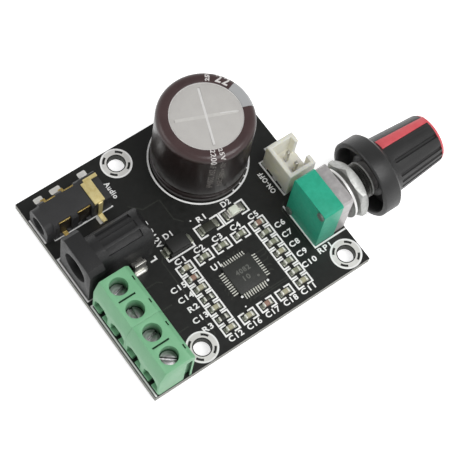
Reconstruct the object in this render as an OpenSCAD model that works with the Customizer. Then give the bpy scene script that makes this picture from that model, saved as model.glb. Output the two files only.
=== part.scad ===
// Audio amplifier board: a small class-D amplifier module with screw terminals, a power socket,
// an audio socket, a storage capacitor, a two-pin switch header and a volume control with a knob.
// The origin is midway between the two front mounting holes, on the underside of the board.

/* [Board] */
// Length of the board, from the socket edge to the knob edge
board_l = 47.5; // [45:0.5:60]
// Thickness of the board
board_t = 1.6; // [0.8:0.2:2.4]
// Diameter of the mounting holes
hole_d = 3.2; // [2.2:0.1:4]
// Distance of the mounting holes from the board's edges
hole_inset = 3.1; // [2.6:0.1:4]
// Distance of the front left mounting hole from the socket edge
front_hole_x = 12.2; // [11:0.1:16]
// Distance of the rear left mounting hole from the socket edge
rear_hole_x = 19.8; // [18:0.1:21]
// Bare board between the audio socket and the rear edge
rear_margin = 3.75; // [3.5:0.05:8]
// Length of the soldered tails below the board
tail_l = 1.4; // [0.8:0.1:3]
// Play round a tail in its drilled hole
tail_play = 0.1; // [0.05:0.01:0.3]

/* [Storage capacitor] */
// Outer diameter over the sleeve
cap_d = 18; // [14:0.5:19]
// Height above the board
cap_h = 16.8; // [12:0.2:30]
// Distance of the capacitor's axis from the knob edge
cap_from_knob_edge = 14.4; // [12:0.1:16]
// Distance of the capacitor's axis from the rear edge
cap_from_rear_edge = 10.4; // [9.5:0.1:11]
// Thickness of the shrunk sleeve
sleeve_t = 0.3; // [0.15:0.05:0.5]
// Width of the sleeve's lip on top of the can
sleeve_lip = 2.3; // [1.5:0.1:3]
// Radius of the can's shoulder
cap_shoulder = 1; // [0.5:0.1:1.4]
// Height of the rolled crimp above the board
crimp_z = 2.6; // [2.2:0.1:4]
// Depth of the rolled crimp
crimp_depth = 0.45; // [0.2:0.05:0.7]
// Depth of the safety vent's scored cross
vent_depth = 0.15; // [0.1:0.05:0.25]
// Direction of the vent's first score, from the length of the board
vent_angle = 68; // [0:1:90]
// Distance between the leads
cap_lead_pitch = 7.5; // [5:0.5:10]
// Diameter of a lead
cap_lead_d = 0.8; // [0.6:0.1:1]

/* [Screw terminals] */
// Distance from pole to pole
pole_pitch = 5; // [5:0.08:5.5]
// Depth of a terminal housing
term_depth = 7.2; // [7:0.1:9]
// Height of a terminal housing
term_h = 10; // [9.6:0.1:13]
// Distance of the housing's wire side from the socket edge
term_x = 0.5; // [0:0.1:1.5]
// Distance of the first pole's end from the front edge
term_y = 0.1; // [0:0.1:0.5]
// Depth of the slope above the wire entries
term_slope_x = 1; // [0.5:0.1:1.4]
// Height of the slope above the wire entries
term_slope_z = 3; // [1:0.1:4]
// Cut along the rear top edge
term_rear_cut = 0.9; // [0.3:0.1:1.2]
// Diameter of a screw well
well_d = 3.4; // [3.2:0.1:3.8]
// Distance of the screws from the wire side
well_x = 3.4; // [3.2:0.1:3.9]
// Play round a screw head in its well
head_play = 0.15; // [0.1:0.05:0.3]
// Height of a screw head
head_h = 1.2; // [1:0.1:1.8]
// Width of a screw's slot
slot_w = 0.6; // [0.4:0.1:0.8]
// Outer diameter of the screw thread
screw_d = 2.6; // [2.2:0.1:3]
// Play between the screw and its nut strap
thread_play = 0.05; // [0.03:0.01:0.1]
// Travel of a screw from open to tight
clamp_travel = 2.7; // [2:0.1:2.9]
// Width of a wire entry
wire_w = 3.2; // [2.6:0.1:3.6]
// Thickness of the contact strip
strip_t = 0.5; // [0.3:0.05:0.6]
// Thickness of the nut strap in the contact frame
strap_t = 1; // [0.8:0.1:1.3]
// Diameter of a solder pin
term_pin_d = 1; // [0.8:0.1:1.2]

/* [Power socket] */
// Bare board between the screw terminals and the power socket
dc_gap = 1.25; // [1:0.05:4]
// Distance of the socket's mouth from the socket edge
dc_x = 0.55; // [0:0.05:2]
// Length of the socket
dc_l = 14.4; // [13.5:0.1:16]
// Width of the front flange
dc_w = 9; // [8.6:0.1:11]
// Height of the front flange
dc_h = 11; // [10.4:0.1:13]
// Thickness of the front flange
dc_flange_l = 3.2; // [2:0.1:4]
// Diameter of the plug's bore
dc_bore_d = 5.9; // [5.7:0.1:6.4]
// Wall of the barrel beside the bore
dc_wall = 0.6; // [0.5:0.05:0.9]
// Wall of the barrel over the bore
dc_roof = 0.75; // [0.6:0.05:1]
// Depth of the plug's bore
dc_bore_l = 9.2; // [8:0.1:9.5]
// Height of the bore's axis above the board
dc_axis_z = 6.1; // [5.8:0.1:6.4]
// Diameter of the centre pin
dc_pin_d = 2.1; // [1.3:0.1:2.5]
// Thickness of the contact strips
dc_strip_t = 0.4; // [0.3:0.05:0.6]
// Width of the soldered tabs
dc_tab_w = 2.4; // [1.6:0.1:2.6]

/* [Audio socket] */
// Bare board between the power socket and the audio socket
audio_gap = 3.9; // [3:0.05:6]
// Distance of the nose from the socket edge
audio_x = 0.5; // [-1:0.1:1]
// Length of the body behind the nose
audio_l = 12; // [11.6:0.1:13]
// Width of the body
audio_w = 6; // [5.8:0.1:7]
// Height of the body
audio_h = 5; // [4.8:0.1:6]
// Length of the nose
nose_l = 1.6; // [1:0.1:4]
// Width of the nose
nose_w = 5.6; // [4.8:0.1:5.8]
// Rounding of the nose's upper edges
nose_round = 1.6; // [0.5:0.1:2.2]
// Diameter of the plug's bore
audio_bore_d = 3.6; // [3.5:0.05:3.8]
// Thickness of the plated contact springs
spring_t = 0.25; // [0.15:0.05:0.3]
// Depth of the side pockets that hold the springs
pocket_d = 0.7; // [0.5:0.05:0.85]
// Reach of a spring's foot past the body
foot_reach = 1.9; // [1:0.1:2.4]

/* [Volume control] */
// Distance of the shaft's axis from the front edge
pot_y = 11.95; // [11:0.05:13]
// Height of the shaft's axis above the board
pot_axis_z = 5.3; // [5:0.1:6.2]
// Width of the case
pot_w = 9; // [8.6:0.1:10]
// Height of the case
pot_h = 12.2; // [11.4:0.1:14]
// Depth of the moulded case
pot_case_l = 4.25; // [4:0.05:6]
// Thickness of the cast front
pot_front_l = 2.4; // [1.5:0.1:3]
// Distance of the cast front from the knob edge of the board
pot_setback = 0.3; // [0:0.1:1]
// Bevel along the edges of the case
pot_bevel = 0.35; // [0.1:0.05:0.6]
// Thread diameter of the bushing
bushing_d = 7; // [6.8:0.1:7.5]
// Length of the bushing
bushing_l = 5.2; // [4.8:0.1:7]
// Diameter of the shaft
shaft_d = 6; // [5:0.1:6.2]
// Length of the shaft past the bushing
shaft_l = 14; // [9:0.5:14.5]
// Depth of the flat on the shaft
shaft_flat = 1.5; // [1:0.1:2]
// Running clearance of the shaft on its radius
shaft_play = 0.05; // [0.02:0.01:0.1]
// Width across the flats of the nut
nut_af = 10; // [9:0.5:11]
// Thickness of the nut
nut_l = 1.8; // [1.5:0.1:2.2]
// Gap between the washer and the nut
nut_gap = 0.7; // [0:0.1:1]
// Outer diameter of the washer
washer_d = 10; // [9:0.1:11]
// Thickness of the washer
washer_t = 0.5; // [0.4:0.1:0.6]
// Distance of the washer from the cast front
washer_x = 1.1; // [0:0.1:1.5]
// Width of a terminal leg
leg_w = 0.8; // [0.6:0.1:1]
// Distance between the terminal legs
leg_pitch = 2.5; // [2:0.1:3]

/* [Knob] */
// Distance of the knob's rim from the cast front
knob_x = 6; // [5.8:0.1:8]
// Diameter of the flange
flange_d = 15.3; // [14:0.1:16]
// Length of the flange
flange_l = 3.9; // [2.8:0.1:4.5]
// Wall of the flange round its recess
flange_wall = 1.1; // [0.8:0.1:1.6]
// Floor left in the flange under its recess
flange_floor = 0.9; // [0.6:0.1:1.4]
// Length of the whole knob
knob_l = 16.2; // [15:0.1:20]
// Diameter of the grip at the flange
grip_d = 11.3; // [10.5:0.1:12]
// Diameter of the grip at the tip
tip_d = 9.7; // [9:0.1:10.4]
// Number of places for grip grooves round the knob
groove_count = 24; // [16:1:30]
// Width of a grip groove
groove_w = 0.75; // [0.4:0.05:0.9]
// Smooth sector on each side of the pointer, in degrees
smooth_sector = 44; // [30:1:70]
// Smooth land past the first groove on each side, in degrees
groove_land = 28; // [0:1:40]
// Width of the pointer at the flange
pointer_w = 2.3; // [1.5:0.1:3]
// Width of the pointer at the tip
pointer_tip_w = 1.5; // [0.8:0.1:2]
// Thickness of the pointer's end cap
end_cap_t = 0.6; // [0.4:0.1:1]
// Height of the pointer above the grip
pointer_proud = 0.15; // [0.05:0.05:0.3]
// Direction of the pointer, from level towards upright
pointer_angle = 67; // [-60:1:240]

/* [Switch header] */
// Bare board between the volume control and the header
header_gap = 2.25; // [1.5:0.05:4]
// Distance between the header's pins
header_pitch = 2.5; // [2:0.1:3]
// Length of the housing past each pin
header_end = 2.45; // [2:0.05:3]
// Depth of the housing
header_d = 5.75; // [5.2:0.05:7]
// Height of the housing
header_h = 7; // [6:0.1:9]
// Overhang of the housing past the knob edge
header_overhang = 0.5; // [0:0.1:1]
// Wall of the housing
header_wall = 0.75; // [0.5:0.05:0.9]
// Thickness of the housing's floor
header_floor = 2.4; // [1.5:0.1:3]
// Width of the key opening in the outer wall
header_key_w = 3.35; // [2.5:0.05:4]
// Width of a square pin
header_pin_w = 0.64; // [0.5:0.02:0.8]
// Height of the pins inside the housing
header_pin_h = 6; // [5:0.1:6.5]

/* [Amplifier chip] */
// Distance of the chip's centre from the socket edge
chip_x = 26.5; // [25.5:0.1:27.5]
// Distance of the chip's centre from the front edge
chip_y = 10.05; // [9.5:0.05:11]
// Side of the package
chip_w = 6; // [5:0.1:7]
// Thickness of the package
chip_t = 0.85; // [0.6:0.05:1]
// Distance between the leads
chip_pitch = 0.5; // [0.4:0.05:0.55]
// Width of a lead
chip_lead_w = 0.25; // [0.15:0.05:0.3]
// Length of a lead past the package
chip_lead_l = 0.4; // [0.1:0.05:0.6]
// Thickness of a lead
chip_lead_t = 0.2; // [0.1:0.05:0.25]

/* [Small parts round the chip] */
// Distance between the columns of small parts
small_pitch_x = 4.05; // [3.6:0.05:4.3]
// Distance between the rows of small parts
small_pitch_y = 2.26; // [2:0.01:2.4]
// Length of a small part
small_l = 1.6; // [1:0.1:2]
// Width of a small part
small_w = 0.85; // [0.5:0.05:1.25]
// Height of a small capacitor
small_cap_h = 0.8; // [0.5:0.05:1]
// Height of a small resistor
small_res_h = 0.45; // [0.3:0.05:0.6]
// Length of the soldered end of a small part
small_end = 0.35; // [0.2:0.05:0.4]

/* [Lamp, its resistor and the diode] */
// Distance of this row from the chip's centre
lamp_row_y = 11.15; // [10.6:0.05:11.6]
// Distance of the lamp from the chip's centre
lamp_x = 5.7; // [5:0.1:7]
// Distance of the diode from the chip's centre
diode_x = 6.9; // [6:0.1:8]
// Length of the lamp and of its resistor
lamp_l = 3.2; // [2.6:0.1:3.6]
// Width of the lamp and of its resistor
lamp_w = 1.6; // [1.2:0.1:2]
// Height of the lamp
lamp_h = 1.1; // [0.8:0.05:1.5]
// Thickness of the lamp's carrier
lamp_base_t = 0.45; // [0.3:0.05:0.6]
// Length of the lens
lens_l = 2; // [1.4:0.1:2.2]
// Height of the lamp's resistor
lamp_res_h = 0.55; // [0.4:0.05:0.8]
// Length of the soldered ends of the lamp and of its resistor
lamp_end = 0.5; // [0.3:0.05:0.55]
// Length of the diode's body
diode_l = 4.3; // [3.5:0.1:5]
// Width of the diode's body
diode_w = 2.6; // [2:0.1:3]
// Height of the diode's body
diode_h = 2.1; // [1.6:0.1:2.6]
// Width of the diode's leads
diode_lead_w = 1.5; // [1:0.1:1.8]
// Thickness of the diode's leads
diode_lead_t = 0.2; // [0.1:0.05:0.3]
// Reach of the diode's leads past the body
diode_lead_l = 0.5; // [0.3:0.05:0.8]

/* [Hidden] */

$fn = 64;
// Extra length with which a cut passes through a face
cut = 0.5;
// Gap between pieces that are pushed together
seat = 0.03;
tail_z = -board_t - tail_l;

// Places along the socket edge, from the front edge to the rear one
poles = 4;
poles_per_housing = 2;
term_end_y = term_y + poles * pole_pitch;
dc_y = term_end_y + dc_gap + dc_w / 2;
audio_y = dc_y + dc_w / 2 + audio_gap + audio_w / 2;
board_w = audio_y + audio_w / 2 + rear_margin;
cap_x = board_l - cap_from_knob_edge;
cap_y = board_w - cap_from_rear_edge;
right_hole_x = board_l - hole_inset;
origin_x = (front_hole_x + right_hole_x) / 2;
origin_y = hole_inset;
mount_holes = [
  [front_hole_x, hole_inset], [right_hole_x, hole_inset],
  [rear_hole_x, board_w - hole_inset], [right_hole_x, board_w - hole_inset]
];

// Capacitor
can_r = cap_d / 2 - sleeve_t;
can_top = cap_h - sleeve_t;
disc_r = cap_d / 2 - sleeve_lip;
crimp_r = 1;
can_z = 0.5;
sleeve_z = 0.25;
seal_wall = 0.6;
seal_top = 1.6;
// Plain disc past each end of a score
vent_end = 0.9;
vent_l = 2 * (disc_r - vent_end);
vent_w = 0.4;

// Screw terminals: heights above the board, from the bottom of the contact frame up
strip_z = 0.55;
clamp_t = 0.4;
clamp_gap = 0.12;
clamp_low = strip_z + strip_t + clamp_gap;
clamp_high = clamp_low + clamp_travel;
strap_z = clamp_high + clamp_t + clamp_gap;
strap_top = strap_z + strap_t;
head_low = strap_top + clamp_gap;
head_d = well_d - 2 * head_play;
frame_over = 0.05;
frame_w = wire_w + 2 * frame_over;
frame_play = 0.06;
frame_front = -1.75;
frame_back = 2.1;
clamp_side_play = 0.15;
slot_depth = 0.75;
// How far each screw stands above its tight place, and the direction of its slot
screw_open = [1.5, 0.45, 0.35, 0.4];
screw_turn = [-38, 20, 84, 12];

// Volume control, along the shaft
front_x = board_l - pot_setback;
case_x1 = front_x - pot_front_l;
case_x0 = case_x1 - pot_case_l;
bushing_x1 = front_x + bushing_l;
shaft_x1 = bushing_x1 + shaft_l;
case_wall = 0.5;
cavity_r = pot_w / 2 - case_wall;
case_back = 1.3;
track_t = 0.5;
track_x = case_x0 + case_back;
rotor_gap = 0.4;
rotor_x = track_x + track_t + rotor_gap;
lug_h = 0.7;
rotor_r = cavity_r - lug_h;
wiper_in = 1;
rotor_end = 0.15;
wiper_gap = 0.06;
hub_step = 1;
hub_d = shaft_d - 2 * hub_step;
stop_half = 14;
stake_d = 1.2;
stake_lip = 0.25;
stake_inset = 0.95;
washer_play = 0.1;
nut_play = 0.06;
nut_x = front_x + washer_x + washer_t + nut_gap;
nut_turn = 45;
// Room between the turning rotor and the case
rotor_room = 0.25;
lug_room = 0.15;

// Knob, along the shaft
rim_x = front_x + knob_x;
flange_x = rim_x + flange_l;
floor_x = flange_x - flange_floor;
// The shaft's flat starts a little before the knob's floor
flat_lead = 0.5;
flat_x = floor_x - flat_lead;
bore_end = 0.3;
knob_x1 = rim_x + knob_l;
grip_x1 = knob_x1 - end_cap_t;
recess_r = flange_d / 2 - flange_wall;
// Hub round the shaft, which stops clear of the bushing
hub_wall = 1.2;
hub_r = shaft_d / 2 + hub_wall;
hub_in = 1.8;
hub_room = 0.3;
hub_x = max(rim_x + hub_in, bushing_x1 + hub_room);
shoulder_l = 0.9;
grip_x0 = flange_x + shoulder_l;
pointer_depth = 0.8;
// Bare grip between the flange's fillet and the pointer
pointer_lead = 0.15;
pointer_x0 = grip_x0 + pointer_lead;

// Switch header
header_w = header_pitch + 2 * header_end;
header_x = board_l + header_overhang - header_d;
header_y = pot_y + pot_w / 2 + header_gap + header_w / 2;
// Distance of the pins from the outer wall's face
header_pin_in = 2.35;
header_pin_x = header_d - header_pin_in;

// Small parts: places of the grid round the chip that lie on its rim
small_columns = 5;
small_rows = 7;
small_places = [
  for (i = [0 : small_columns - 1]) for (j = [0 : small_rows - 1])
    if (i == 0 || i == small_columns - 1 || j == 0 || j == small_rows - 1) [i, j]
];
resistor_places = [[0, 1], [0, 3]];

// Frames

module on_board(x = 0, y = 0) {
  translate([x - origin_x, y - origin_y, board_t]) children();
}

module rod_x(x0, x1, d) {
  translate([x0, 0, 0]) rotate([0, 90, 0]) cylinder(d = d, h = x1 - x0);
}

// Block along X, centred across Y and standing on the board
module block_x(x0, x1, w, z0, z1, y = 0) {
  translate([x0, y - w / 2, z0]) cube([x1 - x0, w, z1 - z0]);
}

// Outline across the board, extruded along X
module extrude_x(x0, x1) {
  translate([x0, 0, 0]) rotate([90, 0, 90]) linear_extrude(x1 - x0) children();
}

module bevelled_outline(w, h, bevel) {
  polygon([
    [-w / 2, 0], [w / 2, 0], [w / 2, h - bevel], [w / 2 - bevel, h],
    [-w / 2 + bevel, h], [-w / 2, h - bevel]
  ]);
}

module arched_outline(w, h, r) {
  translate([-w / 2, 0]) square([w, h - r]);
  translate([-w / 2 + r, 0]) square([w - 2 * r, h]);
  for (s = [-1, 1]) translate([s * (w / 2 - r), h - r]) circle(r);
}

module place_on_axis() {
  on_board(0, pot_y) translate([0, 0, pot_axis_z]) children();
}

module turn_to_pointer(offset = 0) {
  rotate([pointer_angle - 90 + offset, 0, 0]) children();
}

// Board

module drill(x, y, d) {
  translate([x, y, -cut]) cylinder(d = d, h = board_t + 2 * cut);
}

module drill_slot(x, y, l, w) {
  drill(x - l / 2 + w / 2, y, w);
  drill(x + l / 2 - w / 2, y, w);
  translate([x - l / 2 + w / 2, y - w / 2, -cut]) cube([l - w, w, board_t + 2 * cut]);
}

module circuit_board() {
  color("#17181a") translate([-origin_x, -origin_y, 0]) difference() {
    cube([board_l, board_w, board_t]);
    for (p = mount_holes) drill(p[0], p[1], hole_d);
    for (s = [-1, 1]) drill(cap_x, cap_y + s * cap_lead_pitch / 2, cap_lead_d + 2 * tail_play);
    for (i = [0 : poles - 1])
      drill(term_x + well_x, pole_y(i), term_pin_d + 2 * tail_play);
    for (p = dc_tab_places())
      translate([dc_x + p[0], dc_y + p[1], 0]) rotate(p[2])
        drill_slot(0, 0, dc_tab_w + 2 * tail_play, dc_strip_t + 4 * tail_play);
    for (s = [-1 : 1])
      drill(leg_x(), pot_y + s * leg_pitch, leg_w + 2 * tail_play);
    for (s = [-1, 1])
      drill(header_x + header_pin_x, header_y + s * header_pitch / 2,
            header_pin_w * sqrt(2) + 2 * tail_play);
    for (x = peg_places())
      drill(audio_x + nose_l + x, audio_y, peg_d() + 2 * tail_play);
  }
}

// Storage capacitor

module can_outline(grow) {
  r = can_r + grow;
  top = can_top + grow;
  shoulder = cap_shoulder + grow;
  difference() {
    union() {
      square([r, top - shoulder]);
      square([r - shoulder, top]);
      translate([r - shoulder, top - shoulder]) circle(shoulder);
    }
    translate([can_r - crimp_depth + crimp_r, crimp_z]) circle(crimp_r - grow);
    translate([-2 * r, -cut]) square([2 * r, top + 2 * cut]);
  }
}

module capacitor_can() {
  color("#c6c4c0") on_board(cap_x, cap_y) difference() {
    rotate_extrude() difference() {
      can_outline(0);
      translate([0, -cut]) square([cap_d, cut + can_z]);
      translate([0, -cut]) square([can_r - seal_wall, cut + seal_top]);
    }
    for (turn = [0, 90])
      rotate(vent_angle + turn)
        translate([-vent_l / 2, -vent_w / 2, can_top - vent_depth])
          cube([vent_l, vent_w, vent_depth + cut]);
  }
}

module capacitor_sleeve() {
  color("#3a2826") on_board(cap_x, cap_y) rotate_extrude() difference() {
    can_outline(sleeve_t);
    can_outline(0);
    translate([0, -cut]) square([cap_d, cut + sleeve_z]);
    translate([0, -cut]) square([can_r, cut + can_z]);
    square([disc_r, cap_h + cut]);
  }
}

module capacitor_seal() {
  color("#1c1c1c") on_board(cap_x, cap_y) difference() {
    cylinder(r = can_r - seal_wall - seat, h = seal_top);
    for (s = [-1, 1])
      translate([0, s * cap_lead_pitch / 2, -cut])
        cylinder(d = cap_lead_d + 2 * seat, h = seal_top + 2 * cut);
  }
}

module capacitor_leads() {
  color("#c9c9c6") on_board(cap_x, cap_y)
    for (s = [-1, 1])
      translate([0, s * cap_lead_pitch / 2, tail_z])
        cylinder(d = cap_lead_d, h = seal_top - tail_z);
}

// Screw terminals, with X measured from the wire side and Y from the pole's middle

function pole_y(i) = term_y + (i + 0.5) * pole_pitch;

module on_pole(i) {
  on_board(term_x + well_x, pole_y(i)) children();
}

// Step back of the foot under the wire side
foot_back = 0.3;
foot_rise = 0.9;

module terminal_outline() {
  polygon([
    [0, foot_rise], [foot_back, foot_rise], [foot_back, 0], [term_depth, 0],
    [term_depth, term_h - term_rear_cut],
    [term_depth - term_rear_cut, term_h], [term_slope_x, term_h], [0, term_h - term_slope_z]
  ]);
}

// Dovetail that joins one terminal housing to the next
dovetail_x = 6.1;
dovetail_w = 1.1;
dovetail_d = 0.6;
dovetail_lean = 0.25;
dovetail_h = 8;

module dovetail(grow) {
  translate([dovetail_x, 0, -grow]) linear_extrude(dovetail_h + 2 * grow)
    polygon([
      [-dovetail_w / 2 - grow, 0], [dovetail_w / 2 + grow, 0],
      [dovetail_w / 2 + dovetail_lean + grow, dovetail_d + grow],
      [-dovetail_w / 2 - dovetail_lean - grow, dovetail_d + grow]
    ]);
}

// Room for one pole: screw well, contact frame, wire entry with its funnel, and test notch
entry_funnel = 0.4;
entry_funnel_d = 1.1;
entry_sill = 0.35;
entry_low = foot_rise + entry_sill;
entry_lip = 0.1;
test_notch = [0.35, 0.9, 0.8];
foot_notch = [1.2, 0.9, 1.7];

module pole_room() {
  chamber_w = frame_w + 2 * frame_play;
  entry_high = strap_z - entry_lip;
  translate([0, 0, strap_top - cut]) cylinder(d = well_d, h = term_h);
  block_x(frame_front - frame_play, frame_back + frame_play, chamber_w, -cut, strap_top + frame_play);
  block_x(-well_x - cut, 0, wire_w, entry_low, entry_high);
  extrude_x(-well_x - cut, -well_x + entry_funnel_d) polygon([
    [-wire_w / 2 - entry_funnel, entry_low], [wire_w / 2 + entry_funnel, entry_low],
    [wire_w / 2 + entry_funnel, entry_high - entry_funnel],
    [wire_w / 4, entry_high + 2 * entry_funnel],
    [-wire_w / 4, entry_high + 2 * entry_funnel],
    [-wire_w / 2 - entry_funnel, entry_high - entry_funnel]
  ]);
  block_x(-well_x - cut, -well_x + foot_notch[0], foot_notch[1], -cut, foot_notch[2]);
  translate([term_depth - well_x - term_rear_cut, -test_notch[1] / 2, term_h - test_notch[2]])
    cube([test_notch[0], test_notch[1], test_notch[2] + cut]);
}

module terminal_housing(first) {
  length = poles_per_housing * pole_pitch;
  mark_l = 3.4;
  mark_w = 0.35;
  mark_d = 0.9;
  color("#6fb183") difference() {
    on_board(term_x, term_y + first * pole_pitch) {
      translate([0, length, 0]) rotate([90, 0, 0]) linear_extrude(length) terminal_outline();
      translate([0, length, 0]) dovetail(0);
    }
    for (i = [first : first + poles_per_housing - 1]) on_pole(i) pole_room();
    on_board(term_x, term_y + first * pole_pitch) {
      dovetail(seat * 2);
      translate([well_x - mark_l / 2, pole_pitch - mark_w / 2, term_h - mark_d])
        cube([mark_l, mark_w, mark_d + cut]);
    }
  }
}

module terminal_housing_1() terminal_housing(0);
module terminal_housing_2() terminal_housing(poles_per_housing);

// Folded frame that carries the nut strap over the wire, with its solder pin
module terminal_contacts() {
  color("#c4c4bf") for (i = [0 : poles - 1]) on_pole(i) {
    difference() {
      translate([0, frame_w / 2, 0]) rotate([90, 0, 0]) linear_extrude(frame_w)
        polygon([
          [frame_front, strip_z], [frame_back, strip_z], [frame_back, strap_top],
          [frame_front, strap_top], [frame_front, strap_z], [frame_back - strip_t, strap_z],
          [frame_back - strip_t, strip_z + strip_t], [frame_front, strip_z + strip_t]
        ]);
      translate([0, 0, strap_z - clamp_gap])
        cylinder(d = screw_d + 2 * thread_play, h = strap_t + 2 * clamp_gap);
    }
    translate([0, 0, tail_z]) cylinder(d = term_pin_d, h = strip_z - tail_z + strip_t / 2);
  }
}

module terminal_screw(i) {
  head_z = head_low + screw_open[i];
  tip_z = clamp_low + clamp_t + screw_open[i] + seat;
  tip_bevel = 0.3;
  color("#d2d2cd") on_pole(i) difference() {
    union() {
      translate([0, 0, head_z]) cylinder(d = head_d, h = head_h);
      translate([0, 0, tip_z + tip_bevel]) cylinder(d = screw_d, h = head_z - tip_z - tip_bevel);
      translate([0, 0, tip_z])
        cylinder(d1 = screw_d - 2 * tip_bevel, d2 = screw_d, h = tip_bevel);
    }
    rotate(screw_turn[i])
      translate([-head_d, -slot_w / 2, head_z + head_h - slot_depth])
        cube([2 * head_d, slot_w, slot_depth + cut]);
  }
}

module terminal_screw_1() terminal_screw(0);
module terminal_screw_2() terminal_screw(1);
module terminal_screw_3() terminal_screw(2);
module terminal_screw_4() terminal_screw(3);

// Loose plate between a screw's tip and the wire
module terminal_clamp(i) {
  low = clamp_low + screw_open[i];
  width = frame_w - 2 * clamp_side_play;
  color("#b9b9b2") on_pole(i)
    block_x(frame_front + clamp_side_play, frame_back - strip_t - clamp_side_play, width,
            low, low + clamp_t);
}

module terminal_clamp_1() terminal_clamp(0);
module terminal_clamp_2() terminal_clamp(1);
module terminal_clamp_3() terminal_clamp(2);
module terminal_clamp_4() terminal_clamp(3);

// Power socket, with X measured from its mouth

dc_inner_r = dc_bore_d / 2;
dc_barrel_w = dc_bore_d + 2 * dc_wall;
dc_barrel_h = dc_axis_z + dc_inner_r + dc_roof;
dc_back_in = 1.35;
dc_back_x = dc_l - dc_back_in;
dc_spring_x = 7.7;
dc_switch_from_back = 3.7;
dc_switch_x = dc_l - dc_switch_from_back;
dc_switch_out = 0.25;
dc_switch_y = -dc_w / 2 - dc_switch_out;
dc_switch_in = 1.3;
dc_tab_top = 3.4;
dc_tab_lip = 0.2;
dc_link_top = 2.2;

// Place of each soldered tab on the board, and the direction of its width
function dc_tab_places() = [
  [dc_back_x + dc_strip_t / 2, 0, 90],
  [dc_spring_x, 0, 90],
  [dc_switch_x, dc_switch_y, 0]
];

module on_power_socket() {
  on_board(dc_x, dc_y) children();
}

module power_socket_housing() {
  flange_bevel = 0.9;
  top_land = 0.3;
  barrel_round = dc_barrel_w / 2 - top_land;
  flute_angles = [-34, 0, 34];
  flute_w = 1.4;
  flute_d = 0.3;
  flute_lead = 2.2;
  flute_end = 1.8;
  rear_cut = 0.8;
  tab_room = 0.25;
  tab_well_w = dc_tab_w + 2 * tab_room;
  color("#2b2c2e") on_power_socket() difference() {
    union() {
      extrude_x(0, dc_flange_l) bevelled_outline(dc_w, dc_h, flange_bevel);
      extrude_x(dc_flange_l - cut, dc_l) arched_outline(dc_barrel_w, dc_barrel_h, barrel_round);
    }
    translate([0, 0, dc_axis_z]) rod_x(-cut, dc_bore_l, dc_bore_d);
    translate([0, 0, dc_axis_z]) rod_x(dc_bore_l - cut, dc_l, rivet_d() + 2 * seat);
    translate([0, 0, dc_barrel_h - barrel_round]) for (a = flute_angles) rotate([a, 0, 0])
      block_x(dc_flange_l + flute_lead, dc_l - flute_end, flute_w,
              barrel_round - flute_d, barrel_round + cut);
    translate([dc_l, 0, dc_barrel_h - rear_cut]) rotate([0, -45, 0])
      block_x(0, dc_l, dc_w, 0, dc_l);
    block_x(dc_back_x - seat, dc_l + cut, tab_well_w, -cut, dc_axis_z + dc_tab_w / 2 + seat);
    block_x(dc_flange_l, dc_spring_x + dc_strip_t, tab_well_w, -cut, dc_axis_z - dc_inner_r / 2);
    block_x(dc_switch_x - tab_well_w / 2, dc_switch_x + tab_well_w / 2, 2 * dc_switch_in + 2 * seat,
            dc_link_top - dc_strip_t - seat, dc_link_top + seat, -dc_barrel_w / 2);
  }
}

rivet_step = 0.25;
function rivet_d() = dc_pin_d - 2 * rivet_step;

// Plug pin, riveted through the back wall to its soldered tab
module power_socket_pin() {
  pin_front = 2;
  color("#cfcfca") on_power_socket() {
    translate([0, 0, dc_axis_z]) {
      rod_x(pin_front + dc_pin_d / 2, dc_bore_l - seat, dc_pin_d);
      translate([pin_front + dc_pin_d / 2, 0, 0]) sphere(d = dc_pin_d);
      rod_x(dc_bore_l - cut, dc_back_x + dc_strip_t / 2, rivet_d());
    }
    block_x(dc_back_x, dc_back_x + dc_strip_t, dc_tab_w, tail_z, dc_axis_z + dc_tab_w / 2);
  }
}

// Leaf that presses on the plug's sleeve from below
module power_socket_spring() {
  leaf_lead = 0.5;
  leaf_x0 = dc_flange_l + leaf_lead;
  leaf_low = 1.2;
  leaf_press = 0.25;
  leaf_tip = dc_axis_z - dc_inner_r + leaf_press;
  leaf_end = dc_spring_x + dc_strip_t / 2;
  lead_in_l = 1.2;
  lead_in_h = 0.4;
  color("#cfcfca") on_power_socket() {
    translate([0, dc_tab_w / 2, 0]) rotate([90, 0, 0]) linear_extrude(dc_tab_w)
      polygon([
        [leaf_x0, leaf_tip - dc_strip_t - lead_in_h], [leaf_x0 + lead_in_l, leaf_tip - dc_strip_t],
        [leaf_end, leaf_low], [leaf_end, leaf_low + dc_strip_t],
        [leaf_x0 + lead_in_l, leaf_tip], [leaf_x0, leaf_tip - lead_in_h]
      ]);
    block_x(leaf_end - dc_strip_t, leaf_end, dc_tab_w, tail_z, leaf_low + dc_strip_t / 2);
  }
}

// Side contact that the plug lifts off
module power_socket_switch() {
  color("#d8d6cf") on_power_socket() {
    block_x(dc_switch_x - dc_tab_w / 2, dc_switch_x + dc_tab_w / 2, dc_strip_t, tail_z, dc_tab_top,
            dc_switch_y);
    translate([dc_switch_x - dc_tab_w / 2, dc_switch_y, dc_tab_top - dc_strip_t])
      cube([dc_tab_w, dc_strip_t / 2 + dc_tab_lip, dc_strip_t]);
    translate([dc_switch_x - dc_tab_w / 2, dc_switch_y, dc_link_top - dc_strip_t])
      cube([dc_tab_w, dc_switch_in - dc_switch_y - dc_barrel_w / 2, dc_strip_t]);
  }
}

// Audio socket, with X measured from the back of its nose and the plug's axis at half height

function peg_d() = 1;
peg_front = 2.4;
peg_back = 2.6;
peg_short = 0.3;
function peg_places() = [peg_front, audio_l - peg_back];
audio_axis_z = audio_h / 2;
// Middle of each side spring along the body, and its length there
tip_spring = [2.4, 2.2];
ring_spring = [6.2, 2.3];
front_spring = [2.3, 2.4];
rear_spring = [6.4, 2.6];
clip_x = [8.4, 10.5];
spring_low = 0.6;
spring_finger_w = 0.7;
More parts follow.
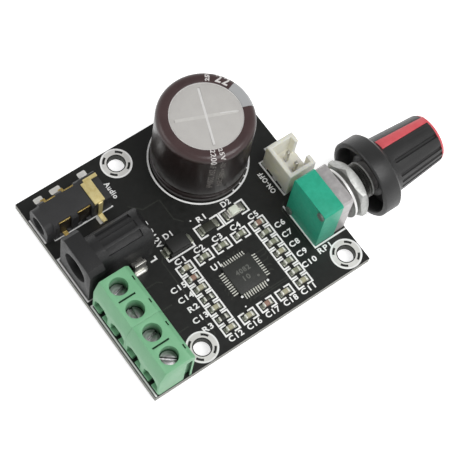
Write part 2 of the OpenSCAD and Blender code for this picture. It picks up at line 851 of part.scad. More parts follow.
// Height of the soldered feet above the board, and their width
foot_low = 0.02;
foot_w = 0.9;
front_foot_reach = foot_reach / 3;

module on_audio_socket() {
  on_board(audio_x + nose_l, audio_y) children();
}

// Pocket for a spring, open at the top and at its side, with a slot into the bore
module spring_pocket(spring, side) {
  room = 0.15;
  block_x(spring[0] - spring[1] / 2 - room, spring[0] + spring[1] / 2 + room, 2 * pocket_d,
          spring_low - room, audio_h + cut, side * audio_w / 2);
  block_x(spring[0] - spring_finger_w / 2 - room, spring[0] + spring_finger_w / 2 + room, audio_w / 2,
          audio_axis_z - spring_finger_w, audio_axis_z + spring_finger_w, side * audio_w / 4);
  block_x(spring[0] - spring_finger_w / 2 - room, spring[0] + spring_finger_w / 2 + room, 2 * pocket_d,
          -cut, spring_low, side * audio_w / 2);
}

module audio_socket_housing() {
  bevel = 0.5;
  peg_l = board_t - peg_short;
  color("#2d2e30") on_audio_socket() difference() {
    union() {
      extrude_x(-nose_l, cut) arched_outline(nose_w, audio_h, nose_round);
      extrude_x(0, audio_l) bevelled_outline(audio_w, audio_h, bevel);
      for (x = peg_places()) translate([x, 0, -peg_l]) cylinder(d = peg_d(), h = peg_l + cut);
    }
    translate([0, 0, audio_axis_z]) rod_x(-nose_l - cut, audio_l + cut, audio_bore_d);
    spring_pocket(tip_spring, 1);
    spring_pocket(ring_spring, 1);
    spring_pocket(front_spring, -1);
    spring_pocket(rear_spring, -1);
    block_x(clip_x[0] - seat, audio_l + cut, audio_w + 2 * cut, audio_h - spring_t, audio_h + cut);
  }
}

// Side spring: an upright leaf with a finger into the bore, and a soldered foot where it has a reach
module side_spring(spring, side, reach) {
  wall_y = audio_w / 2 - pocket_d + seat;
  top_gap = 0.1;
  finger_press = 0.2;
  finger_y = audio_bore_d / 2 - finger_press;
  color("#d9b85a") on_audio_socket() mirror([0, side < 0 ? 1 : 0, 0]) translate([spring[0], 0, 0]) {
    translate([-spring[1] / 2, wall_y, spring_low])
      cube([spring[1], spring_t, audio_h - spring_low - top_gap]);
    translate([-spring_finger_w / 2, finger_y, audio_axis_z - spring_finger_w / 2])
      cube([spring_finger_w, wall_y + spring_t / 2 - finger_y, spring_finger_w]);
    if (reach > 0) {
      translate([-spring_finger_w / 2, wall_y, foot_low])
        cube([spring_finger_w, spring_t, spring_low + spring_t]);
      translate([-foot_w / 2, wall_y, foot_low]) cube([foot_w, pocket_d + reach, spring_t]);
    }
  }
}

module audio_contact_tip() side_spring(tip_spring, 1, foot_reach);
module audio_contact_ring() side_spring(ring_spring, 1, foot_reach);
module audio_contact_front() side_spring(front_spring, -1, front_foot_reach);
module audio_contact_rear() side_spring(rear_spring, -1, 0);

// Ground clip over the rear of the body: a plate with a neck and a cross piece, and a soldered tail
module audio_contact_clip() {
  plate_in = 1.3;
  neck_w = 1.3;
  cross_w = 0.7;
  cross_in = 0.65;
  tail_back = 1.45;
  tail_x = clip_x[1] - tail_back;
  tail_y = -audio_w / 2 - seat - spring_t;
  cross_y = audio_w / 2 - cross_in;
  low = audio_h - spring_t;
  color("#d9b85a") on_audio_socket() {
    translate([clip_x[0], -audio_w / 2, low])
      cube([clip_x[1] - clip_x[0], audio_w - plate_in, 2 * spring_t]);
    translate([clip_x[1] - neck_w, 0, low]) cube([neck_w, cross_y, spring_t]);
    translate([clip_x[1] - neck_w, cross_y - cross_w, low])
      cube([audio_l - clip_x[1] + neck_w, cross_w, spring_t]);
    translate([tail_x, tail_y, low]) cube([foot_w, spring_t + 2 * seat, spring_t]);
    translate([tail_x, tail_y, foot_low]) cube([foot_w, spring_t, audio_h - foot_low]);
    translate([tail_x, tail_y + spring_t - foot_reach, foot_low]) cube([foot_w, foot_reach, spring_t]);
  }
}

// Volume control, with Y and Z measured from the shaft's axis

function leg_x() = track_x + track_t / 2;
leg_t = 0.3;
leg_top = 1.2;
stakes = [[-1, 1], [1, -1]];

module pot_outline() {
  translate([0, -pot_axis_z]) bevelled_outline(pot_w, pot_h, pot_bevel);
}

function stake_y(s) = s * (pot_w / 2 - stake_inset);
function stake_z(s) = s > 0 ? pot_h - stake_inset - pot_axis_z : stake_inset - pot_axis_z;

// Sector of a ring about the shaft's axis, centred on straight up
module stop_sector(x0, x1, r0, r1, half) {
  reach = 2 * r1;
  intersection() {
    difference() {
      rod_x(x0, x1, 2 * r1);
      rod_x(x0 - cut, x1 + cut, 2 * r0);
    }
    extrude_x(x0, x1) polygon([[0, 0], [reach * tan(half), reach], [-reach * tan(half), reach]]);
  }
}

module pot_case() {
  color("#22a27f") place_on_axis() difference() {
    extrude_x(case_x0, case_x1) pot_outline();
    difference() {
      rod_x(track_x, case_x1 + cut, 2 * cavity_r);
      rotate([180, 0, 0]) stop_sector(rotor_x - rotor_gap / 2, case_x1 + cut, rotor_r + rotor_room,
                                      cavity_r + cut, stop_half);
    }
    for (s = stakes)
      translate([0, stake_y(s[0]), stake_z(s[1])]) rod_x(case_x0 - cut, case_x1 + cut, stake_d + 2 * seat);
    for (s = [-1 : 1])
      block_x(leg_x() - leg_t / 2 - seat, leg_x() + leg_t / 2 + seat, leg_w + 2 * seat,
              -pot_axis_z - cut, leg_top + seat - pot_axis_z, s * leg_pitch);
  }
}

// Resistance track on its round carrier
module pot_track() {
  color("#1d1d1f") place_on_axis() rod_x(track_x, track_x + track_t, 2 * (cavity_r - seat));
}

// Carrier of the wipers, with the lug that meets the stop
module pot_rotor() {
  wiper_w = 0.8;
  wiper_t = 0.3;
  color("#e6e2d6") place_on_axis() turn_to_pointer() difference() {
    union() {
      rod_x(rotor_x, case_x1 - rotor_end, 2 * rotor_r);
      stop_sector(rotor_x, case_x1 - rotor_end, rotor_r - cut, cavity_r - lug_room, stop_half);
      for (s = [-1, 1])
        translate([track_x + track_t + wiper_gap, s * (rotor_r - wiper_in) - wiper_w / 2, -wiper_t / 2])
          cube([rotor_gap + cut, wiper_w, wiper_t]);
    }
    rod_x(rotor_x - cut, case_x1 + cut, hub_d + 2 * seat);
  }
}

module flat_cut(x0, x1, depth) {
  translate([x0, -shaft_d, -shaft_d / 2 - cut]) cube([x1 - x0, 2 * shaft_d, depth + cut]);
}

module pot_shaft() {
  tip_bevel = 0.4;
  color("#c9c8c6") place_on_axis() turn_to_pointer() {
    difference() {
      union() {
        rod_x(case_x1, shaft_x1 - tip_bevel, shaft_d);
        translate([shaft_x1 - tip_bevel, 0, 0]) rotate([0, 90, 0])
          cylinder(d1 = shaft_d, d2 = shaft_d - 2 * tip_bevel, h = tip_bevel);
      }
      flat_cut(flat_x, shaft_x1 + cut, shaft_flat);
    }
    rod_x(rotor_x, case_x1 + cut, hub_d);
  }
}

// Cast front with the threaded bushing and the stakes that hold the case
module pot_bushing() {
  step = 0.35;
  stake_head_t = 0.3;
  color("#b0a8a8") place_on_axis() difference() {
    union() {
      extrude_x(case_x1, front_x) translate([0, -pot_axis_z + step])
        bevelled_outline(pot_w - step, pot_h - 2 * step, pot_bevel);
      rod_x(case_x1 + cut, bushing_x1, bushing_d);
      for (s = stakes) translate([0, stake_y(s[0]), stake_z(s[1])]) {
        rod_x(case_x0 - stake_head_t, case_x1 + cut, stake_d);
        rod_x(case_x0 - stake_head_t, case_x0, stake_d + 2 * stake_lip);
      }
    }
    rod_x(case_x1 - cut, bushing_x1 + cut, shaft_d + 2 * shaft_play);
  }
}

module pot_terminals() {
  color("#cfcfca") on_board(0, pot_y)
    for (s = [-1 : 1])
      block_x(leg_x() - leg_t / 2, leg_x() + leg_t / 2, leg_w, tail_z, leg_top, s * leg_pitch);
}

module pot_washer() {
  color("#e4e3df") place_on_axis() difference() {
    rod_x(front_x + washer_x, front_x + washer_x + washer_t, washer_d);
    rod_x(front_x, nut_x, bushing_d + 2 * washer_play);
  }
}

module pot_nut() {
  corner_d = nut_af / cos(30);
  bevel = 0.5;
  color("#b9bab8") place_on_axis() difference() {
    translate([nut_x, 0, 0]) rotate([0, 90, 0]) intersection() {
      rotate(nut_turn) cylinder(d = corner_d, h = nut_l, $fn = 6);
      rotate_extrude() polygon([
        [0, 0], [nut_af / 2, 0], [corner_d / 2, bevel],
        [corner_d / 2, nut_l - bevel], [nut_af / 2, nut_l], [0, nut_l]
      ]);
    }
    rod_x(nut_x - cut, nut_x + nut_l + cut, bushing_d + 2 * nut_play);
  }
}

// Knob

module grip_cone(grow, x1) {
  translate([grip_x0, 0, 0]) rotate([0, 90, 0])
    cylinder(r1 = grip_d / 2 + grow, r2 = tip_d / 2 + grow, h = x1 - grip_x0, $fn = 96);
}

// Wedge under the pointer's strip, upright over the axis
module pointer_wedge(grow) {
  translate([0, 0, tip_d / 2 - pointer_depth - grow]) linear_extrude(flange_d)
    polygon([
      [pointer_x0 - grow, -pointer_w / 2 - grow], [knob_x1, -pointer_tip_w / 2 - grow],
      [knob_x1, pointer_tip_w / 2 + grow], [pointer_x0 - grow, pointer_w / 2 + grow]
    ]);
}

module knob_body() {
  round_r = 0.5;
  fillet = 0.5;
  groove_step = 360 / groove_count;
  slope = atan((grip_d - tip_d) / 2 / (grip_x1 - grip_x0));
  color("#3a3b3d") place_on_axis() turn_to_pointer() difference() {
    rotate([0, 90, 0]) rotate_extrude($fn = 96) {
      polygon([
        [0, hub_x], [hub_r, hub_x], [hub_r, floor_x], [recess_r, floor_x], [recess_r, rim_x + round_r],
        [recess_r + round_r / 2, rim_x], [flange_d / 2 - round_r / 2, rim_x],
        [flange_d / 2, rim_x + round_r / 2], [flange_d / 2, flange_x - round_r],
        [flange_d / 2 - round_r, flange_x], [grip_d / 2 + fillet, grip_x0 - fillet],
        [grip_d / 2, grip_x0], [tip_d / 2, grip_x1], [0, grip_x1]
      ]);
    }
    difference() {
      rod_x(hub_x - cut, shaft_x1 + bore_end, shaft_d + 2 * seat);
      flat_cut(flat_x, knob_x1, shaft_flat - 2 * seat);
    }
    pointer_wedge(seat);
    for (i = [0 : groove_count - 1]) {
      off_pointer = min(i * groove_step, 360 - i * groove_step);
      past_first = off_pointer - smooth_sector;
      if (past_first >= 0 && (past_first < groove_step || past_first >= groove_land))
        rotate([i * groove_step, 0, 0]) translate([grip_x0 + groove_w, 0, grip_d / 2])
          rotate([0, 90 + slope, 0]) cylinder(d = groove_w, h = knob_l, $fn = 24);
    }
  }
}

// Coloured insert: a strip along the grip and the cap over its end
module knob_pointer() {
  color("#e8535f") place_on_axis() turn_to_pointer() {
    translate([grip_x1, 0, 0]) rotate([0, 90, 0])
      cylinder(d1 = tip_d, d2 = tip_d - end_cap_t, h = end_cap_t, $fn = 96);
    intersection() {
      pointer_wedge(0);
      grip_cone(pointer_proud, knob_x1 - end_cap_t / 2);
    }
  }
}

// Switch header, with X measured from its inner wall

module on_header() {
  on_board(header_x, header_y) children();
}

module header_housing() {
  inner_w = header_w - 2 * header_wall;
  foot_gap_w = 1.75;
  foot_gap_h = 0.6;
  foot_gap_share = 0.19;
  foot_gap_y = header_w * foot_gap_share;
  color("#d5d1c1") on_header() difference() {
    block_x(0, header_d, header_w, 0, header_h);
    for (s = [-1, 1])
      block_x(-cut, header_wall, foot_gap_w, -cut, foot_gap_h, s * foot_gap_y);
    block_x(header_wall, header_d - header_wall, inner_w, header_floor, header_h + cut);
    block_x(header_d / 2, header_d + cut, header_key_w, header_floor, header_h + cut);
    for (s = [-1, 1])
      block_x(header_pin_x - header_pin_w / 2 - seat, header_pin_x + header_pin_w / 2 + seat,
              header_pin_w + 2 * seat, -cut, header_h, s * header_pitch / 2);
  }
}

module header_pins() {
  tip_l = 0.5;
  color("#d8d8d2") on_header() for (s = [-1, 1]) {
    block_x(header_pin_x - header_pin_w / 2, header_pin_x + header_pin_w / 2, header_pin_w,
            tail_z, header_pin_h - tip_l, s * header_pitch / 2);
    block_x(header_pin_x - header_pin_w / 4, header_pin_x + header_pin_w / 4, header_pin_w / 2,
            header_pin_h - tip_l, header_pin_h, s * header_pitch / 2);
  }
}

// Amplifier chip

leads_per_side = 10;

module on_chip() {
  on_board(chip_x, chip_y) children();
}

module chip_body() {
  color("#232427") on_chip() block_x(-chip_w / 2, chip_w / 2, chip_w, chip_lead_t, chip_t);
}

module chip_leads() {
  color("#bfc0bd") on_chip() for (side = [0 : 3]) rotate(90 * side)
    for (i = [0 : leads_per_side - 1])
      block_x(chip_w / 2 - chip_lead_l, chip_w / 2 + chip_lead_l, chip_lead_w, 0, chip_lead_t,
              (i - (leads_per_side - 1) / 2) * chip_pitch);
}

// Small parts: a body between two soldered ends, lying along X

module chip_part_body(length, width, height, end) {
  block_x(-length / 2 + end, length / 2 - end, width, 0, height);
}

module chip_part_ends(length, width, height, end) {
  for (s = [-1, 1])
    block_x(s * (length / 2 - end / 2) - end / 2, s * (length / 2 - end / 2) + end / 2, width, 0, height);
}

function is_resistor(p) = len([for (q = resistor_places) if (q == p) 1]) > 0;

module at_small_places(resistors) {
  for (p = small_places) if (is_resistor(p) == resistors)
    on_board(chip_x + (p[0] - (small_columns - 1) / 2) * small_pitch_x,
             chip_y + (p[1] - (small_rows - 1) / 2) * small_pitch_y)
      children();
}

module small_capacitors() {
  color("#a48a5e") at_small_places(false) chip_part_body(small_l, small_w, small_cap_h, small_end);
}

module small_capacitor_ends() {
  color("#cfcfcb") at_small_places(false) chip_part_ends(small_l, small_w, small_cap_h, small_end);
}

module small_resistors() {
  color("#1e1f22") at_small_places(true) chip_part_body(small_l, small_w, small_res_h, small_end);
}

module small_resistor_ends() {
  color("#cfcfcb") at_small_places(true) chip_part_ends(small_l, small_w, small_res_h, small_end);
}

// Lamp, its resistor and the diode

module on_lamp_row(x) {
  on_board(chip_x + x, chip_y + lamp_row_y) children();
}

module lamp_resistor() {
  color("#1e1f22") on_lamp_row(0) chip_part_body(lamp_l, lamp_w, lamp_res_h, lamp_end);
}

module lamp_resistor_ends() {
  color("#cfcfcb") on_lamp_row(0) chip_part_ends(lamp_l, lamp_w, lamp_res_h, lamp_end);
}

module lamp_base() {
  color("#e9e6d8") on_lamp_row(lamp_x) chip_part_body(lamp_l, lamp_w, lamp_base_t, lamp_end);
}

module lamp_ends() {
  color("#cfcfcb") on_lamp_row(lamp_x) chip_part_ends(lamp_l, lamp_w, lamp_base_t, lamp_end);
}

module lamp_lens() {
  draft = 0.2;
  color("#dfe8d6") on_lamp_row(lamp_x) translate([0, lamp_w / 2, 0]) rotate([90, 0, 0])
    linear_extrude(lamp_w) polygon([
      [-lens_l / 2, lamp_base_t], [lens_l / 2, lamp_base_t],
      [lens_l / 2 - draft, lamp_h], [-lens_l / 2 + draft, lamp_h]
    ]);
}

diode_lead_z = 0.95;
diode_lead_in = 0.9;
diode_in_x = diode_l / 2 - diode_lead_in;

module diode_body() {
  draft = 0.2;
  lift = 0.1;
  color("#232427") on_lamp_row(-diode_x) difference() {
    translate([0, diode_w / 2, 0]) rotate([90, 0, 0]) linear_extrude(diode_w) polygon([
      [-diode_l / 2 + draft, lift], [diode_l / 2 - draft, lift], [diode_l / 2, diode_lead_z],
      [diode_l / 2 - draft, diode_h], [-diode_l / 2 + draft, diode_h], [-diode_l / 2, diode_lead_z]
    ]);
    for (s = [0, 1]) mirror([s, 0, 0]) {
      block_x(diode_in_x - seat, diode_l / 2 + cut, diode_lead_w + 2 * seat, diode_lead_z - seat,
              diode_lead_z + diode_lead_t + seat);
      block_x(diode_in_x - seat, diode_l / 2 + cut, diode_lead_w + 2 * seat, -cut, diode_lead_t + seat);
    }
  }
}

// Flat leads that fold down and back under the body
module diode_leads() {
  out_x = diode_l / 2 + diode_lead_l;
  color("#cfcfcb") on_lamp_row(-diode_x) for (s = [0, 1]) mirror([s, 0, 0]) {
    block_x(diode_in_x, out_x, diode_lead_w, diode_lead_z, diode_lead_z + diode_lead_t);
    block_x(out_x - diode_lead_t, out_x, diode_lead_w, 0, diode_lead_z + diode_lead_t);
    block_x(diode_in_x, out_x, diode_lead_w, 0, diode_lead_t);
  }
}

circuit_board();
capacitor_can();
capacitor_sleeve();
capacitor_seal();
capacitor_leads();
terminal_housing_1();
terminal_housing_2();
terminal_contacts();
terminal_screw_1();
terminal_screw_2();
terminal_screw_3();
terminal_screw_4();
terminal_clamp_1();
terminal_clamp_2();
terminal_clamp_3();
terminal_clamp_4();
power_socket_housing();
power_socket_pin();
power_socket_spring();
power_socket_switch();
audio_socket_housing();
audio_contact_tip();
audio_contact_ring();
audio_contact_clip();
audio_contact_front();
audio_contact_rear();
pot_case();
pot_track();
pot_rotor();
pot_shaft();
pot_bushing();
pot_terminals();
pot_washer();
pot_nut();
knob_body();
knob_pointer();
header_housing();
header_pins();
chip_body();
chip_leads();
small_capacitors();
small_capacitor_ends();
small_resistors();
small_resistor_ends();
lamp_resistor();
lamp_resistor_ends();
lamp_base();
lamp_lens();
lamp_ends();
diode_body();
diode_leads();
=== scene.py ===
import math
import bmesh
import bpy
from mathutils import Matrix, Vector


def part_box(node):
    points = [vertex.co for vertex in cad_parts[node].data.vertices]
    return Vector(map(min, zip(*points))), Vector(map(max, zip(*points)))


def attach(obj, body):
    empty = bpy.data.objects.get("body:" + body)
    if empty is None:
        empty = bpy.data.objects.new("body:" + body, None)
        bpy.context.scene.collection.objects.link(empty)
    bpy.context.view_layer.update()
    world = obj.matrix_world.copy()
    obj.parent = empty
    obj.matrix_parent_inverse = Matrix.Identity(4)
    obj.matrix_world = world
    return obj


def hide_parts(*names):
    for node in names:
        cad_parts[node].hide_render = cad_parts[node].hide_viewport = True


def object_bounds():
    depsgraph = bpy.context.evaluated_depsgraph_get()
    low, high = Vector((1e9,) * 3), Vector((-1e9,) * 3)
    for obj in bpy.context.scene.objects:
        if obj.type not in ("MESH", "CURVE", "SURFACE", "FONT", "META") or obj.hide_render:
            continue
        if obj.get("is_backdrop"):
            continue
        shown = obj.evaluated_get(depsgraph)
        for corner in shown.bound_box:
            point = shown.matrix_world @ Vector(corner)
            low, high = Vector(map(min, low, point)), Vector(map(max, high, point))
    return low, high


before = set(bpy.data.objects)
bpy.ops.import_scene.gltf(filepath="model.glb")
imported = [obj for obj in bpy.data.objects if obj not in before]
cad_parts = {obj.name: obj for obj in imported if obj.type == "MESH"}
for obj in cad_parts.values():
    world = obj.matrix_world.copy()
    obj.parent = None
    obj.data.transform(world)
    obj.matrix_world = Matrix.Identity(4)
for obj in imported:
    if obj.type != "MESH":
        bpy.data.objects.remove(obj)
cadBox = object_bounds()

mm = 0.001
scene = bpy.context.scene
scene.view_settings.view_transform = "Standard"
boardLow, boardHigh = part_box("circuit_board")
print("frame loaded:", len(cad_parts), "nodes")


# Places on the board are in mm from its front left corner, with z above the solder mask
def onBoard(x, y, z=0.0):
    return Vector((boardLow.x + x * mm, boardLow.y + y * mm, boardHigh.z + z * mm))


# Camera and light

photoView = {
    "place": (-0.092768, -0.066310, 0.274725),
    "right": (0.8046, -0.5848, 0.1036),
    "up": (0.5044, 0.7649, 0.4006),
    "lens": 128.0, "sensor": 36.0, "nearest": 0.01,
}

cameraData = bpy.data.cameras.new("photoCamera")
cameraData.lens = photoView["lens"]
cameraData.sensor_width = photoView["sensor"]
cameraData.clip_start = photoView["nearest"]
camera = bpy.data.objects.new("photoCamera", cameraData)
right, up = Vector(photoView["right"]).normalized(), Vector(photoView["up"]).normalized()
up = (up - right * up.dot(right)).normalized()
camera.matrix_world = Matrix((right, up, right.cross(up))).transposed().to_4x4()
camera.location = photoView["place"]
scene.collection.objects.link(camera)
scene.camera = camera


def linearColour(hexText):
    parts = [int(hexText[i:i + 2], 16) / 255 for i in (1, 3, 5)]
    return tuple(c / 12.92 if c <= 0.04045 else ((c + 0.055) / 1.055) ** 2.4 for c in parts) + (1.0,)


# Adds one node with its settings; a socket given another node, or one of its outputs, is linked to it
def addNode(tree, kind, sockets=None, **settings):
    node = tree.nodes.new(kind)
    for name, value in settings.items():
        setattr(node, name, value)
    for key, value in (sockets or {}).items():
        if isinstance(value, bpy.types.Node):
            value = value.outputs[0]
        if isinstance(value, bpy.types.NodeSocket):
            tree.links.new(value, node.inputs[key])
        else:
            node.inputs[key].default_value = value
    return node


def calc(tree, operation, *values):
    return addNode(tree, "ShaderNodeMath", dict(enumerate(values)), operation=operation)


def remap(tree, value, span, result):
    return addNode(tree, "ShaderNodeMapRange", {"Value": value, "From Min": span[0], "From Max": span[1],
        "To Min": result[0], "To Max": result[1]}).outputs["Result"]


studio = {
    "worldLight": 0.42, "wallShine": 1.0, "ceilingShine": 0.22, "tentSpan": (0.1, 0.85),
    "lamps": {"keyLamp": ((0.07, -0.17, 0.37), 0.30, 1.1), "sideLamp": ((-0.24, 0.20, 0.22), 0.22, 0.22)},
    "aim": (0, 0.015, 0), "floorColour": "#f2f2f2", "floorGlow": 0.68, "floorSide": 3.0,
}

# Two soft lamps: place, size and power
for name, (place, size, power) in studio["lamps"].items():
    data = bpy.data.lights.new(name, "AREA")
    data.shape = "DISK"
    data.size = size
    data.energy = power
    lamp = bpy.data.objects.new(name, data)
    lamp.location = place
    lamp.rotation_euler = (Vector(studio["aim"]) - Vector(place)).to_track_quat("-Z", "Y").to_euler()
    scene.collection.objects.link(lamp)

world = bpy.data.worlds.new("paleRoom")
scene.world = world
world.use_nodes = True
tree = world.node_tree
tree.nodes.clear()
# Shiny surfaces see white walls under a dimmer ceiling, as in a light tent with an open top
rays = addNode(tree, "ShaderNodeLightPath").outputs
aim = addNode(tree, "ShaderNodeTexCoord")
aim = addNode(tree, "ShaderNodeSeparateXYZ", {"Vector": aim.outputs["Generated"]}).outputs["Z"]
tent = remap(tree, aim, studio["tentSpan"], (studio["wallShine"], studio["ceilingShine"]))
room = addNode(tree, "ShaderNodeMix", {0: rays["Is Glossy Ray"], 2: studio["worldLight"], 3: tent})
seen = calc(tree, "MAXIMUM", rays["Is Camera Ray"], rays["Is Transmission Ray"])
level = addNode(tree, "ShaderNodeMix", {0: seen, 2: room, 3: 1.0})
glow = addNode(tree, "ShaderNodeBackground", {"Color": (1, 1, 1, 1), "Strength": level})
addNode(tree, "ShaderNodeOutputWorld", {"Surface": glow})

# White paper floor: the added glow lifts lit paper to white and leaves the shadow pale grey
floorMesh = bpy.data.meshes.new("floor")
half = studio["floorSide"] / 2
floorZ = cadBox[0].z
floorMesh.from_pydata([(-half, -half, floorZ), (half, -half, floorZ), (half, half, floorZ),
    (-half, half, floorZ)], [], [(0, 1, 2, 3)])
floor = bpy.data.objects.new("floor", floorMesh)
scene.collection.objects.link(floor)
paper = bpy.data.materials.new("whitePaper")
paper.use_nodes = True
tree = paper.node_tree
tree.nodes.clear()
rays = addNode(tree, "ShaderNodeLightPath").outputs
seen = calc(tree, "MAXIMUM", rays["Is Camera Ray"], rays["Is Glossy Ray"])
seen = calc(tree, "MAXIMUM", seen, rays["Is Transmission Ray"])
lift = calc(tree, "MULTIPLY", seen, studio["floorGlow"])
glow = addNode(tree, "ShaderNodeEmission", {"Color": (1, 1, 1, 1), "Strength": lift})
sheet = addNode(tree, "ShaderNodeBsdfDiffuse", {"Color": linearColour(studio["floorColour"])})
both = addNode(tree, "ShaderNodeAddShader", {0: glow, 1: sheet})
addNode(tree, "ShaderNodeOutputMaterial", {"Surface": both})
floorMesh.materials.append(paper)
floor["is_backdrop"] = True
print("camera, light and floor ready")


# Finishes

# Starts a finish: constants go on the shader's own sockets, patterns read Object coordinates in metres
def newFinish(name, **sockets):
    material = bpy.data.materials.new(name)
    material.use_nodes = True
    tree = material.node_tree
    for key, value in sockets.items():
        tree.nodes["Principled BSDF"].inputs[key.replace("_", " ")].default_value = value
    return material, tree, addNode(tree, "ShaderNodeTexCoord").outputs["Object"]


# Mixes two colours, each given as hex or as a socket
def blend(tree, factor, low, high, **settings):
    low, high = (linearColour(c) if isinstance(c, str) else c for c in (low, high))
    return addNode(tree, "ShaderNodeMix", {0: factor, 6: low, 7: high}, data_type="RGBA",
        **settings).outputs[2]


def noise(tree, place, size, detail=2.0, rough=0.5):
    return addNode(tree, "ShaderNodeTexNoise", {"Vector": place, "Scale": 1 / (size * mm), "Detail": detail,
        "Roughness": rough}).outputs


# Ends a finish: its colour, and a gloss and a relief in mm that follow one pattern
def endFinish(material, tree, colour, pattern, gloss, relief=0.0, span=(0.0, 1.0)):
    given = {"Base Color": colour, "Roughness": remap(tree, pattern, span, gloss)}
    if relief:
        bump = addNode(tree, "ShaderNodeBump", {"Height": pattern, "Distance": relief * mm,
            "Strength": 1.0})
        given["Normal"] = bump.outputs["Normal"]
    for key, value in given.items():
        tree.links.new(value, tree.nodes["Principled BSDF"].inputs[key])
    return material


# A surface with soft colour patches, an uneven gloss and a fine relief, all sized in mm, and where asked
# painted shade in its recesses
def grainedFinish(name, deep, pale, patch, gloss, grain=0.3, relief=0.01, paintedRecessShade=None, **sockets):
    material, tree, place = newFinish(name, **sockets)
    colour = blend(tree, noise(tree, place, patch, 3.0, 0.6)["Fac"], deep, pale)
    if paintedRecessShade:
        # Painted shade: the colour darkens towards the shade colour inside wells and slots, where other walls
        # stand close
        shadeOcclusion = addNode(tree, "ShaderNodeAmbientOcclusion", {"Distance": paintedRecessShade["reach"] * mm}, samples=8)
        colour = blend(tree, remap(tree, shadeOcclusion.outputs["AO"], (0.25, 0.75), (0.12, 1.0)), paintedRecessShade["shade"],
            colour)
    return endFinish(material, tree, colour, noise(tree, place, grain, 2.0, 0.55)["Fac"], gloss, relief,
        (0.3, 0.7))


# Turned metal: fine rings about an upright axis at centre
def turnedFinish(name, centre, deep, pale, ring, relief, gloss, **sockets):
    material, tree, place = newFinish(name, **sockets)
    about = addNode(tree, "ShaderNodeMapping", {"Vector": place, "Location": (-centre[0], -centre[1], 0)})
    rings = addNode(tree, "ShaderNodeTexWave", {"Vector": about, "Scale": 1 / (ring * mm) / math.tau,
        "Distortion": 1.5, "Detail": 2.0, "Detail Scale": 2.0}, wave_type="RINGS",
        rings_direction="Z").outputs["Fac"]
    return endFinish(material, tree, blend(tree, rings, deep, pale), rings, gloss, relief)


# Black solder mask, sprayed and cured over copper: deep gloss with a faint orange peel
solderMask = grainedFinish("blackSolderMask", "#111210", "#1e1f1d", patch=9, gloss=(0.32, 0.42), grain=0.7,
    relief=0.004, IOR=1.5)
# The same mask where a copper track lifts it: a shade lighter along the track
maskOverCopper = grainedFinish("maskOverCopper", "#242622", "#30322d", patch=3, gloss=(0.32, 0.42),
    grain=0.7, relief=0.004, IOR=1.5)
# Epoxy ink, screen printed: chalky white with slightly thin spots
silkInk = grainedFinish("whiteLegendInk", "#e6e6e3", "#ffffff", patch=0.8, gloss=(0.55, 0.7), grain=0.15,
    relief=0.003)
# Hot-dipped tin on copper: bright and softly rippled
tinPlate = grainedFinish("dippedTin", "#b4b3ae", "#dedcd6", patch=0.8, gloss=(0.26, 0.42), Metallic=1.0)
# Reflowed solder: duller than tin, with a grey bloom
solder = grainedFinish("reflowedSolder", "#9c9c98", "#d2d1cb", patch=0.5, gloss=(0.28, 0.42), grain=0.25,
    relief=0.015, Metallic=1.0)
# Solder on the small parts' lands, cooled slowly: grey and dull
dullSolder = grainedFinish("dullSolder", "#5c5f55", "#b4b6a8", patch=0.35, gloss=(0.3, 0.46), grain=0.25,
    relief=0.015, Metallic=0.7)
# Tin fired onto the ends of small parts and drawn over leads: creamy and bright
creamTin = grainedFinish("creamTin", "#cfcfc3", "#f8f8f0", patch=0.4, gloss=(0.3, 0.45), grain=0.2,
    relief=0.008, Metallic=0.25)
# Gold flash on spring brass, stamped: deep yellow where it faces its dark neighbours
goldFlash = grainedFinish("goldFlashedBrass", "#b08f45", "#dcc684", patch=1.4, gloss=(0.26, 0.4),
    grain=0.35, Metallic=0.95)
# The flash on the springs' flanks, deep in the moulding: painted shade, a dark brown copy of the gold
shadedBrass = grainedFinish("shadedBrass", "#171410", "#3a2f1a", patch=0.8, gloss=(0.5, 0.65), Metallic=0.3)
# The same flash on the broad clip, brushed flat: pale straw, with a few brown spots
brushedGold = grainedFinish("brushedGoldClip", "#c9ae60", "#f6ebb4", patch=0.9, gloss=(0.3, 0.44),
    relief=0.012, Metallic=0.45)
# Drawn aluminium can end: satin, almost white, with faint clouding
drawnAluminium = grainedFinish("drawnAluminium", "#c3c0bd", "#d2d0cc", patch=2.2, gloss=(0.48, 0.6),
    grain=0.25, relief=0.006, Metallic=0.45)
# Butyl rubber bung, pressed: dull black
bungRubber = grainedFinish("pressedButyl", "#141414", "#202020", patch=2, gloss=(0.7, 0.85), grain=0.4)
# Polyamide 66, injection moulded in pale green: waxy, a little see-through at thin walls, with painted shade
# in its wells and slots
greenPolyamide = grainedFinish("greenPolyamide", "#6fac81", "#82ba90", patch=4, gloss=(0.42, 0.55),
    grain=0.35, relief=0.008, paintedRecessShade={"reach": 2.6, "shade": "#0c3d20"}, Subsurface_Weight=0.06,
    Subsurface_Radius=(0.4 * mm, 0.8 * mm, 0.5 * mm), Subsurface_Scale=1.0)
# PBT, moulded and spark-eroded: soft charcoal with a fine even tooth
charcoalPbt = grainedFinish("charcoalPbt", "#232324", "#313132", patch=3.5, gloss=(0.46, 0.62),
    relief=0.012)
# The same PBT in black for the power socket
blackPbt = grainedFinish("blackPbt", "#0f0f10", "#1b1b1c", patch=3.5, gloss=(0.46, 0.62), relief=0.012)
# Phenolic moulding of the control's case: sea green, cloudy, with a low polish
seaGreenPhenolic = grainedFinish("seaGreenPhenolic", "#0d9273", "#2cb392", patch=1.1, gloss=(0.38, 0.52),
    grain=0.4, relief=0.014)
# Zinc alloy, pressure die-cast and tumbled: pinkish grey, pitted
castZinc = grainedFinish("diecastZinc", "#a29f9f", "#cfcccb", patch=0.9, gloss=(0.38, 0.56), grain=0.45,
    relief=0.03, Metallic=0.65)
# Steel with bright zinc, barrel plated: cool and clean
zincSteel = grainedFinish("brightZincSteel", "#a9aaa8", "#cfd0cd", patch=1.2, gloss=(0.28, 0.42),
    relief=0.008, Metallic=1.0)
